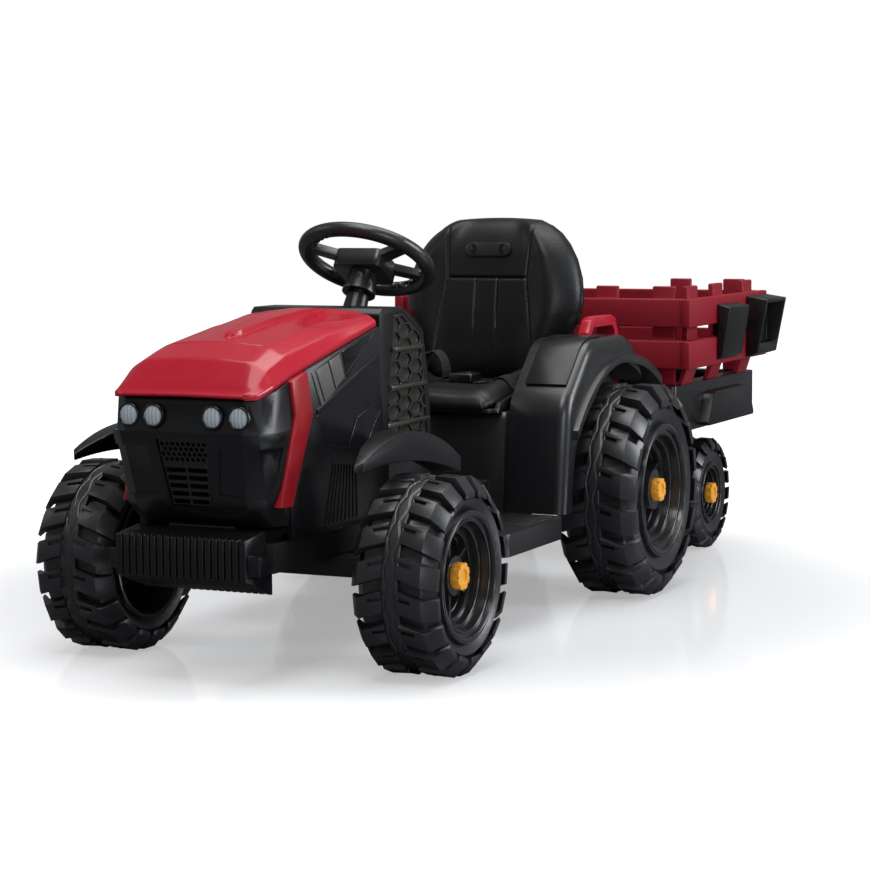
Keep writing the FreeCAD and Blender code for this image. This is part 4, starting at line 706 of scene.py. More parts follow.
@dataclass
class RimBeads:
    """The thin raised rings on the face of each rim.

    Args:
        shop: the finishes.
        rings: radius as a share of the rim's, and depth below the rim's face as a share of the tyre's width.
        set_back: how far the rim's face lies behind the tyre's side.
        thick: radius of a ring's round section.
        around: corners round a ring.
        section: corners round its section.
        keep_degrees: edges sharper than this stay crisp.
    """

    frame: dict
    shop: FinishShop
    rings: tuple[tuple[float, float], ...] = ((0.955, 0.0), (0.845, 0.04), (0.76, 0.14))
    set_back: float = 0.004
    thick: float = 0.0012
    around: int = 96
    section: int = 8
    keep_degrees: float = 60.0

    def build(self) -> None:
        """Lay the rings on every rim."""
        for body, nodes in self.frame["record"]["behaviour"]["bodies"].items():
            for name in nodes:
                if "_rim_" in name:
                    settle(self._beads(name), body)

    def _beads(self, name: str) -> bpy.types.Object:
        """Make the rings of one rim as one piece.

        Args:
            name: the rim's name.
        Returns:
            The piece.
        """
        low, high = bounds(self.frame["nodes"][name])
        inner, outer = bounds(self.frame["nodes"][name.replace("rim", "tyre")])
        middle, radius = (low + high) / 2, (high.z - low.z) / 2
        side, width = (1.0 if middle.x > 0 else -1.0), outer.x - inner.x
        face = max(abs(inner.x), abs(outer.x)) - self.set_back
        made = []
        for share, depth in self.rings:
            bpy.ops.object.select_all(action="DESELECT")
            bpy.ops.mesh.primitive_torus_add(
                major_radius=radius * share, minor_radius=self.thick, major_segments=self.around,
                minor_segments=self.section, location=(side * (face - width * depth), middle.y, middle.z),
                rotation=(0.0, math.radians(90.0), 0.0))
            made.append(place_applied())
        beads = made[0]
        join(beads, made[1:])
        beads.name = name.replace("rim", "rim_beads")
        # The rings share the rims' finish, whose paler base is partly painted highlight.
        beads.data.materials.append(self.shop.materials["rim_black"])
        smooth(beads, self.keep_degrees)
        return beads


@dataclass
class HoodShell:
    """The red hood: one smooth moulding with a lip, a spine, a cross crease and a scoop on each shoulder.

    Args:
        shop: the finishes.
        along: rows of corners from front to rear.
        stations: rows of place along Y, half-width, foot, shoulder half-width, shoulder and crown, in metres
            from the front axle.
        columns: how many columns of corners lie between the marks of a half profile.
        spine: rows of place, half-width and rise of the raised spine.
        scoop: rows of place, inner side, outer side and depth of the recess on each rear shoulder.
        crease: place, half-length and rise of the fine ridge across the hood.
        edge: width of the steps at the spine and the scoop.
        ease: half the length over which corners along the hood are eased.
        ledge: how far the lip stands out.
        crown_half: half-width of the level crown, and crown_drop its fall at that place.
        lip: height of the lip.
        corner: start and end of the cut rear corner, each with the half-width there.
        wall: the moulding's thickness.
        bunch: how much closer the rows lie at the front.
        bulge_shares: where the flank bulges, across and up from the lip.
        cuts: how often corners are cut, and cut_share how much of a side each cut takes.
        column_share: the most of a profile that the columns up to the scoop's outer side take.
        keep_degrees: edges sharper than this stay crisp.
    """

    shop: FinishShop
    along: int = 240
    columns: tuple[int, ...] = (10, 5, 14, 5, 20, 38)
    stations: Rows = (
        (-0.1880, 0.0760, 0.3100, 0.0700, 0.3135, 0.3145), (-0.1850, 0.0830, 0.3100, 0.0735, 0.3160, 0.3168),
        (-0.1820, 0.0852, 0.3100, 0.0728, 0.3172, 0.3182), (-0.1780, 0.0870, 0.3100, 0.0720, 0.3225, 0.3245),
        (-0.1520, 0.0910, 0.3177, 0.0655, 0.3475, 0.3505),
        (-0.1100, 0.0910, 0.3300, 0.0620, 0.3615, 0.3655), (-0.0120, 0.0910, 0.3515, 0.0600, 0.3765, 0.3805),
        (0.0750, 0.0910, 0.3703, 0.0600, 0.3845, 0.3885), (0.1120, 0.0900, 0.3783, 0.0580, 0.3885, 0.3915))
    spine: Rows = (
        (-0.0900, 0.002, 0.0), (-0.0860, 0.005, 0.0044), (-0.0740, 0.009, 0.0056), (-0.0120, 0.013, 0.0060),
        (0.0600, 0.0145, 0.0056), (0.0920, 0.015, 0.0030), (0.1120, 0.015, 0.0))
    scoop: Rows = (
        (0.0040, 0.041, 0.045, 0.0), (0.0160, 0.036, 0.052, 0.0050), (0.0440, 0.028, 0.062, 0.0062),
        (0.0740, 0.024, 0.071, 0.0062), (0.0960, 0.023, 0.072, 0.0035), (0.1120, 0.023, 0.072, 0.0))
    crease: tuple[float, float, float] = (-0.110, 0.056, 0.0010)
    edge: float = 0.0017
    ease: float = 0.003
    ledge: float = 0.0012
    crown_half: float = 0.026
    crown_drop: float = 0.0002
    lip: float = 0.005
    corner: tuple[float, float, float, float] = (0.088, 0.095, 0.112, 0.058)
    wall: float = 0.0032
    bunch: float = 1.15
    bulge_shares: tuple[float, float] = (0.35, 0.62)
    cuts: int = 3
    cut_share: float = 0.12
    column_share: float = 0.8
    keep_degrees: float = 50.0

    def build(self) -> None:
        """Make the hood and lay it in place of the CAD piece."""
        verts, faces = [], []
        first, last = self.stations[0][0], self.stations[-1][0]
        for i in range(self.along):
            share = i / (self.along - 1)
            place = first + (last - first) * share ** self.bunch
            line = self._line(place)
            verts += [(x, place + FRONT_AXLE_Y, z) for x, z in line]
        across = 2 * sum(self.columns) + 1
        for i in range(self.along - 1):
            for j in range(across - 1):
                a = i * across + j
                faces.append((a, a + 1, a + across + 1, a + across))
        hood = joined_mesh("hood_moulding", verts, faces, self.shop.materials["red_gloss"], self.keep_degrees)
        shell = hood.modifiers.new("wall", "SOLIDIFY")
        shell.thickness = self.wall
        shell.offset = -1.0
        apply_all(hood)
        settle(hood, node="hood")

    def _half(self, place: float) -> list[tuple[float, float]]:
        """Draw the half profile at a place, with eased corners.

        Args:
            place: the profile's place along the hood.
        Returns:
            Its points from the crown to the foot.
        """
        low_half, low, top_half, top, crown = eased(self.stations, place, self.ease)
        lip = low + self.lip
        bulge = (low_half - (low_half - top_half) * self.bulge_shares[0], lip + (top - lip) * self.bulge_shares[1])
        line = [(0.0, crown), (self.crown_half, crown - self.crown_drop), (top_half, top), bulge,
                (low_half - self.ledge, lip + self.ledge), (low_half, lip), (low_half, low)]
        for _ in range(self.cuts):
            cut = [line[0]]
            for (x0, z0), (x1, z1) in zip(line, line[1:]):
                dx, dz = (x1 - x0) * self.cut_share, (z1 - z0) * self.cut_share
                cut += [(x0 + dx, z0 + dz), (x1 - dx, z1 - dz)]
            line = cut + [line[-1]]
        start, wide, end, narrow = self.corner
        limit = wide - (place - start) / (end - start) * (wide - narrow) if place > start else wide
        return [point for point in line if point[0] <= limit]

    def _marks(self, place: float, length: float) -> list[float]:
        """Choose where the columns of a half profile bunch, so that they run along the spine and the scoop.

        Args:
            place: the profile's place along the hood.
            length: its length from the crown to the foot.
        Returns:
            Lengths from the crown.
        """
        spine = eased(self.spine, min(max(place, self.spine[0][0]), self.spine[-1][0]), self.ease)[0]
        inner, outer, _ = eased(self.scoop, min(max(place, self.scoop[0][0]), self.scoop[-1][0]), self.ease)
        half = self.edge / 2
        outer = min(outer, length * self.column_share)
        return [0.0, spine - half, spine + half, inner - half, inner + half, outer, length]

    def _line(self, place: float) -> list[tuple[float, float]]:
        """Draw the full profile at a place.

        Args:
            place: the profile's place along the hood.
        Returns:
            One point for each column, from right to left.
        """
        half = self._half(place)
        lengths = [0.0]
        for (x0, z0), (x1, z1) in zip(half, half[1:]):
            lengths.append(lengths[-1] + math.hypot(x1 - x0, z1 - z0))
        marks = self._marks(place, lengths[-1])
        wants = [0.0]
        for count, low, high in zip(self.columns, marks, marks[1:]):
            wants += [low + (high - low) * (j + 1) / count for j in range(count)]
        points = []
        for want in wants:
            k = 1
            while k < len(lengths) - 1 and lengths[k] < want:
                k += 1
            share = (want - lengths[k - 1]) / (lengths[k] - lengths[k - 1])
            x = half[k - 1][0] + (half[k][0] - half[k - 1][0]) * share
            z = half[k - 1][1] + (half[k][1] - half[k - 1][1]) * share
            points.append((x, z + self._relief(x, place)))
        return [(-x, z) for x, z in reversed(points[1:])] + points

    @staticmethod
    def _step(share: float) -> float:
        """Make a soft step that is half up at zero and done at a half to each side.

        Args:
            share: the place, in widths of the step.
        Returns:
            Its height, from 0 to 1.
        """
        share = max(0.0, min(1.0, share + 0.5))
        return share * share * (3.0 - 2.0 * share)

    def _relief(self, x: float, place: float) -> float:
        """Measure how far the spine lifts or the scoop lowers the face at a point.

        Args:
            x: the point's distance from the middle.
            place: its place along the hood.
        Returns:
            The rise in metres.
        """
        rise = 0.0
        if self.spine[0][0] < place < self.spine[-1][0]:
            half, lift = eased(self.spine, place, self.ease)
            rise += lift * self._step((half - abs(x)) / self.edge)
        if self.scoop[0][0] < place < self.scoop[-1][0]:
            inner, outer, deep = eased(self.scoop, place, self.ease)
            slope = max(0.0, min(1.0, (outer - abs(x)) / (outer - inner)))
            rise -= deep * slope * self._step((abs(x) - inner) / self.edge)
        middle, reach, lift = self.crease
        if abs(x) < reach:
            rise += lift * math.exp(-((place - middle) / self.edge) ** 2)
        return rise


@dataclass(frozen=True)
class PadForm:
    """Shape of one stuffed pad.

    Args:
        rows: rows of place along the pad, half-width, edge, crown and rest plane.
        upright: whether the pad stands, as the back does.
        borders: how squarely its sides and its ends turn down.
        bolster: height of the side bolsters.
        bolster_rise: share of that height at the start, and what the length adds.
        bolster_at: the bolsters' place as a share of the half-width.
        foot_share: height of the edge's underside as a share of the edge.
        channels: offset, start and end of each pair of sewn channels.
    """

    rows: Rows
    upright: bool
    borders: tuple[int, int]
    bolster: float
    bolster_rise: tuple[float, float]
    bolster_at: float
    foot_share: float
    channels: Rows


BACK_FORM = PadForm(
    rows=((0.268, 0.0880, 0.028, 0.031, 0.1576), (0.286, 0.1010, 0.034, 0.037, 0.1583),
          (0.300, 0.1075, 0.036, 0.039, 0.1590), (0.340, 0.1135, 0.037, 0.040, 0.1630),
          (0.352, 0.1220, 0.038, 0.041, 0.1645), (0.380, 0.1287, 0.038, 0.041, 0.1680),
          (0.410, 0.1252, 0.038, 0.041, 0.1728), (0.435, 0.1172, 0.037, 0.040, 0.1768),
          (0.455, 0.1060, 0.036, 0.039, 0.1800), (0.4700, 0.0930, 0.030, 0.033, 0.1824),
          (0.4800, 0.0790, 0.026, 0.029, 0.1840), (0.4878, 0.0610, 0.021, 0.024, 0.1851)),
    upright=True, borders=(5, 14), bolster=0.013, bolster_rise=(1.0, 0.0), bolster_at=0.75, foot_share=0.3,
    channels=((0.016, 0.300, 0.411), (0.057, 0.286, 0.482)))
SEAT_FORM = PadForm(
    rows=((-0.0985, 0.094, 0.014, 0.020, 0.2505), (-0.086, 0.101, 0.017, 0.025, 0.2530),
          (-0.045, 0.103, 0.016, 0.026, 0.2553), (0.045, 0.103, 0.018, 0.026, 0.2553),
          (0.108, 0.101, 0.016, 0.024, 0.2553)),
    upright=False, borders=(9, 12), bolster=0.024, bolster_rise=(0.1, 1.1), bolster_at=0.84, foot_share=0.45,
    channels=((0.018, -0.075, 0.085), (0.070, -0.075, 0.085)))


@dataclass
class SeatPads:
    """The two stuffed pads of the seat with their sewn channels, and the blank plate on the back.

    Args:
        shop: the finishes.
        columns: grid lines across a pad.
        rows: grid lines along a pad.
        column_bunch: how much closer the columns lie at the sides.
        ease: half the length over which corners along a pad are eased.
        bolster_spread: width of a bolster as a share of the half-width.
        channel: depth of the sewn channels.
        spread: half-width of a channel.
        fade: lengths over which a channel fades in and out.
        head_seam: height of the seam across the back.
        head_half: half the length of that seam.
        splay: how far the back's outer channels spread below and above the seam, as shares of the height.
        crest: how far the back's top stands up in the middle.
        crest_power: how close to the top the crest stays.
        stuffing: share of a pad's volume that is filled; not used.
        keep_degrees: edges sharper than this stay crisp.
        plate_span: distance between the plate's two round ends, with plate_thick and plate_high for its other sizes.
        plate_place: the plate's middle.
        plate_lean: the plate's tilt in degrees.
        plate_round: how far the plate's edges are rounded where they turn by more than plate_edge_degrees.
        screw: radius of the plate's screw heads and how far they stand out.
    """

    shop: FinishShop
    columns: int = 221
    rows: int = 161
    column_bunch: float = 0.8
    ease: float = 0.014
    bolster_spread: float = 0.19
    channel: float = 0.0028
    spread: float = 0.0017
    fade: tuple[float, float] = (0.07, 0.004)
    head_seam: float = 0.411
    head_half: float = 0.057
    splay: tuple[float, float] = (0.14, 0.06)
    crest: float = 0.003
    crest_power: int = 10
    stuffing: float = 0.8
    keep_degrees: float = 60.0
    plate_span: float = 0.048
    plate_thick: float = 0.004
    plate_high: float = 0.0185
    plate_place: tuple[float, float, float] = (0.0, 0.1375, 0.449)
    plate_lean: float = -9.0
    plate_round: float = 0.0009
    plate_edge_degrees: float = 50.0
    screw: tuple[float, float] = (0.0022, 0.0008)

    def build(self) -> None:
        """Make both pads and the plate."""
        for name, form, node in (("seat_back_pad", BACK_FORM, "seat_back"),
                                 ("seat_cushion_pad", SEAT_FORM, "seat_cushion")):
            pad = self._pad(name, form)
            settle(pad, node=node)
        self._plate()

    def _rise(self, form: PadForm, u: float, v: float) -> tuple[float, float, float, float, float]:
        """Find a pad's point at a share across and along it.

        Args:
            form: the pad's shape.
            u: share across, from -1 to 1.
            v: share along, from 0 to 1.
        Returns:
            Across, along, rest plane, height of the face and height of the edge's underside.
        """
        along = form.rows[0][0] + (form.rows[-1][0] - form.rows[0][0]) * v
        half, edge, crown, rest = eased(form.rows, along, self.ease)
        x = half * u
        border = max(abs(u) ** form.borders[0], abs(2.0 * v - 1.0) ** form.borders[1])
        rim = math.sqrt(max(0.0, 1.0 - border))
        lift = form.bolster * min(1.0, form.bolster_rise[0] + form.bolster_rise[1] * v)
        swell = math.exp(-((abs(u) - form.bolster_at) / self.bolster_spread) ** 2) * lift
        foot = edge * form.foot_share
        face = foot + (edge - foot + (crown - edge) * (1.0 - u * u) + swell) * rim
        face -= self._depth(form, x, along) * rim
        top = along + self.crest * (1.0 - u * u) * v ** self.crest_power if form.upright else along
        return x, top, rest, face, foot * (1.0 - rim)

    def seat_height(self, x: float, along: float) -> float:
        """Measure the height of the cushion's face.

        Args:
            x: place across the cushion.
            along: place along it.
        Returns:
            The height above the floor.
        """
        first, last = SEAT_FORM.rows[0][0], SEAT_FORM.rows[-1][0]
        half = eased(SEAT_FORM.rows, along, self.ease)[0]
        u = max(-1.0, min(1.0, x / half))
        point = self._rise(SEAT_FORM, u, (along - first) / (last - first))
        return point[2] + point[3]

    def _depth(self, form: PadForm, x: float, along: float) -> float:
        """Measure how far the sewn channels draw the face in at a point.

        Args:
            form: the pad's shape.
            x: place across the pad.
            along: place along it.
        Returns:
            The depth in metres.
        """
        drawn = 0.0
        for offset, low, high in form.channels:
            if not low < along < high:
                continue
            if form.upright and offset >= self.head_half:
                above = along - self.head_seam
                offset += above * self.splay[1] if above >= 0.0 else -above * self.splay[0]
            fade = min(1.0, (along - low) / self.fade[0], (high - along) / self.fade[1])
            drawn += fade * math.exp(-((abs(x) - offset) / self.spread) ** 2)
        if form.upright and abs(x) < self.head_half:
            drawn += math.exp(-((along - self.head_seam) / self.spread) ** 2)
        return min(drawn, 1.0) * self.channel

    def _pad(self, name: str, form: PadForm) -> bpy.types.Object:
        """Make one pad as a closed stuffed shape.

        Args:
            name: the piece's name.
            form: its shape.
        Returns:
            The pad.
        """
        faces_pair = []
        mesh = bmesh.new()
        for front in (True, False):
            grid = []
            for i in range(self.rows):
                v = i / (self.rows - 1)
                line = []
                for j in range(self.columns):
                    u = 2.0 * j / (self.columns - 1) - 1.0
                    u = math.copysign(abs(u) ** self.column_bunch, u)
                    x, along, rest, face, foot = self._rise(form, u, v)
                    level = face if front else foot
                    point = (x, rest - level, along) if form.upright else (x, along, rest + level)
                    on_border = i in (0, self.rows - 1) or j in (0, self.columns - 1)
                    if not front and on_border:
                        line.append(faces_pair[0][i][j])
                    else:
                        line.append(mesh.verts.new(point))
                grid.append(line)
            faces_pair.append(grid)
        for front, grid in zip((True, False), faces_pair):
            for i in range(self.rows - 1):
                for j in range(self.columns - 1):
                    corners = [grid[i][j], grid[i][j + 1], grid[i + 1][j + 1], grid[i + 1][j]]
                    mesh.faces.new(corners if front else corners[::-1])
        bmesh.ops.recalc_face_normals(mesh, faces=mesh.faces)
        data = bpy.data.meshes.new(name)
        mesh.to_mesh(data)
        mesh.free()
        data.materials.append(self.shop.materials["seat_leather"])
        pad = bpy.data.objects.new(name, data)
        bpy.context.scene.collection.objects.link(pad)
        smooth(pad, self.keep_degrees)
        return pad

    def _plate(self) -> None:
        """Make the blank pill-shaped plate on the head of the back pad, with its two screw heads."""
        bpy.ops.object.select_all(action="DESELECT")
        bpy.ops.mesh.primitive_cube_add(size=1.0)
        plate = bpy.context.active_object
        plate.name = "seat_plate"
        plate.scale = (self.plate_span, self.plate_thick, self.plate_high)
        place_applied()
        ends = []
        screw_radius, screw_proud = self.screw
        for side in (-0.5, 0.5):
            for radius, thick in ((self.plate_high / 2, self.plate_thick),
                                  (screw_radius, self.plate_thick + screw_proud)):
                bpy.ops.object.select_all(action="DESELECT")
                bpy.ops.mesh.primitive_cylinder_add(vertices=40, radius=radius, depth=thick,
                                                    location=(side * self.plate_span, 0.0, 0.0),
                                                    rotation=(math.radians(90.0), 0.0, 0.0))
                ends.append(place_applied())
        join(plate, ends)
        lean = Matrix.Rotation(math.radians(self.plate_lean), 4, "X")
        plate.data.transform(Matrix.Translation(self.plate_place) @ lean)
        edge = plate.modifiers.new("rounding", "BEVEL")
        edge.width = self.plate_round
        edge.segments = 2
        edge.angle_limit = math.radians(self.plate_edge_degrees)
        apply_all(plate)
        plate.data.materials.append(self.shop.materials["comb_bronze"])
        smooth(plate)
        settle(plate)


def slab(name: str, corners: tuple[tuple[float, float], ...], low: float, high: float, edge: float,
         material: bpy.types.Material) -> bpy.types.Object:
    """Make a flat four-cornered plate on the tractor's flank, with eased edges.

    Args:
        name: the plate's name.
        corners: four points along Y and Z, in metres from the front axle, in order round the plate.
        low: the inner face's distance from the middle plane.
        high: the outer face's distance.
        edge: how far its edges are rounded.
        material: its finish.
    Returns:
        The plate.
    """
    bpy.ops.object.select_all(action="DESELECT")
    bpy.ops.mesh.primitive_cube_add(size=2.0)
    plate = bpy.context.active_object
    plate.name = name
    order = {(-1, -1): 0, (1, -1): 1, (1, 1): 2, (-1, 1): 3}
    for vertex in plate.data.vertices:
        along, high_at = corners[order[(round(vertex.co.y), round(vertex.co.z))]]
        vertex.co = (high if vertex.co.x > 0 else low, along + FRONT_AXLE_Y, high_at)
    bpy.ops.object.mode_set(mode="EDIT")
    bpy.ops.mesh.select_all(action="SELECT")
    bpy.ops.mesh.normals_make_consistent(inside=False)
    bpy.ops.mesh.bevel(offset=edge, segments=2, affect="EDGES")
    bpy.ops.object.mode_set(mode="OBJECT")
    plate.data.materials.append(material)
    smooth(plate)
    return plate


def twin(piece: bpy.types.Object) -> bpy.types.Object:
    """Copy a piece to the other side of the tractor.

    Args:
        piece: the piece on the left.
    Returns:
        Its mirrored copy.
    """
    copy = piece.copy()
    copy.data = piece.data.copy()
    copy.data.transform(Matrix.Scale(-1.0, 4, (1.0, 0.0, 0.0)))
    copy.data.flip_normals()
    copy.name = piece.name + "_right"
    bpy.context.scene.collection.objects.link(copy)
    return copy


@dataclass
class FlankTrim:
    """Window stripes, the glossy plates behind and beside them and the contour beads of both side panels.

    Args:
        shop: the finishes.
        face: the side panel's outer face.
        window: the window's corners along Y and Z: front top, rear top, rear foot, front foot.
        triangle: the corners of the glossy plate beside the window.
        stripes: start and end of each stripe as shares of the window's length.
        stripe_inset: how far the stripes end short of the window's edges.
        beads: runs of contour beads as start and end.
        sunk: how deep a plate reaches into the panel.
        back_proud: how far the window's back stands out, as triangle_proud and stripe_proud say of the others.
        pane_round: how far the window's edges are rounded, as triangle_round says of the plate beside it.
        bead_half: half-width of a bead, with bead_sunk, bead_proud and bead_round for its depth, height and edges.
    """

    shop: FinishShop
    face: float = 0.095
    window: tuple[tuple[float, float], ...] = ((-0.076, 0.332), (-0.010, 0.350), (0.003, 0.320), (-0.054, 0.292))
    triangle: tuple[tuple[float, float], ...] = ((-0.004, 0.3505), (0.062, 0.3645), (0.064, 0.3625), (0.009, 0.3215))
    beads: tuple[tuple[float, float, float, float], ...] = (
        (-0.066, 0.283, 0.074, 0.3655), (-0.033, 0.249, 0.010, 0.243), (0.010, 0.243, 0.031, 0.274),
        (0.031, 0.274, 0.085, 0.290), (-0.031, 0.239, 0.052, 0.235), (0.052, 0.235, 0.069, 0.260),
        (0.069, 0.260, 0.090, 0.277))
    stripes: tuple[tuple[float, float], ...] = ((0.02, 0.12), (0.17, 0.57), (0.62, 0.98))
    stripe_inset: float = 0.0016
    sunk: float = 0.001
    back_proud: float = 0.0006
    triangle_proud: float = 0.0010
    stripe_proud: float = 0.0012
    pane_round: float = 0.0003
    triangle_round: float = 0.0004
    bead_half: float = 0.0007
    bead_sunk: float = 0.0005
    bead_proud: float = 0.0013
    bead_round: float = 0.0004

    def build(self) -> None:
        """Make the plates of the left side and mirror them."""
        face, finish = self.face, self.shop.materials
        made = [slab("window_back", self.window, face - self.sunk, face + self.back_proud, self.pane_round,
                     finish["black_gloss"]),
                slab("window_triangle", self.triangle, face - self.sunk, face + self.triangle_proud,
                     self.triangle_round, finish["black_glass"])]
        top_front, top_rear, foot_rear, foot_front = self.window
        foot, top = (foot_front, foot_rear, self.stripe_inset), (top_front, top_rear, -self.stripe_inset)
        for index, (start, end) in enumerate(self.stripes):
            corners = []
            for share, (a, b, lift) in ((start, foot), (end, foot), (end, top), (start, top)):
                corners.append((a[0] + (b[0] - a[0]) * share, a[1] + (b[1] - a[1]) * share + lift))
            made.append(slab(f"window_stripe_{index}", tuple(corners), face, face + self.stripe_proud, self.pane_round,
                             finish["window_grey"]))
        for index, (y0, z0, y1, z1) in enumerate(self.beads):
            turn = math.atan2(z1 - z0, y1 - y0)
            dy, dz = -math.sin(turn) * self.bead_half, math.cos(turn) * self.bead_half
            corners = ((y0 - dy, z0 - dz), (y1 - dy, z1 - dz), (y1 + dy, z1 + dz), (y0 + dy, z0 + dz))
            made.append(slab(f"contour_bead_{index}", corners, face - self.bead_sunk, face + self.bead_proud,
                             self.bead_round, finish["black_plastic"]))
        for piece in made:
            for side in (piece, twin(piece)):
                settle(side)


@dataclass
class DashTrim:
    """Bronze bars across the honeycomb panels.

    Args:
        shop: the finishes.
        face: the panels' outer face.
        half_high: half the height of a bar.
        bars: height, front end and rear end of each bar.
        sunk: how deep a bar reaches into the panel.
        proud: how far it stands out.
        edge: how far its edges are rounded.
    """

    shop: FinishShop
    face: float = 0.086
    half_high: float = 0.0024
    bars: Rows = ((0.343, 0.1480, 0.2235), (0.299, 0.1375, 0.2335), (0.256, 0.1275, 0.2400))
    sunk: float = 0.0006
    proud: float = 0.0016
    edge: float = 0.0008

    def build(self) -> None:
        """Lay a bar on each cross rib of both panels."""
        for index, (high, front, rear) in enumerate(self.bars):
            corners = ((front, high - self.half_high), (rear, high - self.half_high), (rear, high + self.half_high),
                       (front, high + self.half_high))
            bar = slab(f"dash_bar_{index}", corners, self.face - self.sunk, self.face + self.proud, self.edge,
                       self.shop.materials["bar_bronze"])
            for side in (bar, twin(bar)):
                settle(side)


@dataclass
class LampBezels:
    """Dark rings round the lamp lenses.

    Args:
        shop: the finishes.
        high: height of the lenses' middle.
        radius: radius of a ring, and thick that of its section.
        places: offset across and front of each lens.
        around: corners round a ring, and section those round its section.
        keep_degrees: edges sharper than this stay crisp.
    """

    shop: FinishShop
    high: float = 0.291
    radius: float = 0.0118
    thick: float = 0.0013
    places: tuple[tuple[float, float], ...] = ((0.036, -0.1855), (0.067, -0.1838))
    around: int = 48
    section: int = 10
    keep_degrees: float = 60.0

    def build(self) -> None:
        """Set a ring round each of the four lenses."""
        for index, (across, front) in enumerate(self.places):
            bpy.ops.object.select_all(action="DESELECT")
            bpy.ops.mesh.primitive_torus_add(
                major_radius=self.radius, minor_radius=self.thick, major_segments=self.around,
                minor_segments=self.section, location=(across, front + FRONT_AXLE_Y, self.high),
                rotation=(math.radians(90.0), 0.0, 0.0))
            ring = place_applied()
            ring.name = f"lamp_bezel_{index}"
            ring.data.materials.append(self.shop.materials["black_gloss"])
            smooth(ring, self.keep_degrees)
            for side in (ring, twin(ring)):
                settle(side)


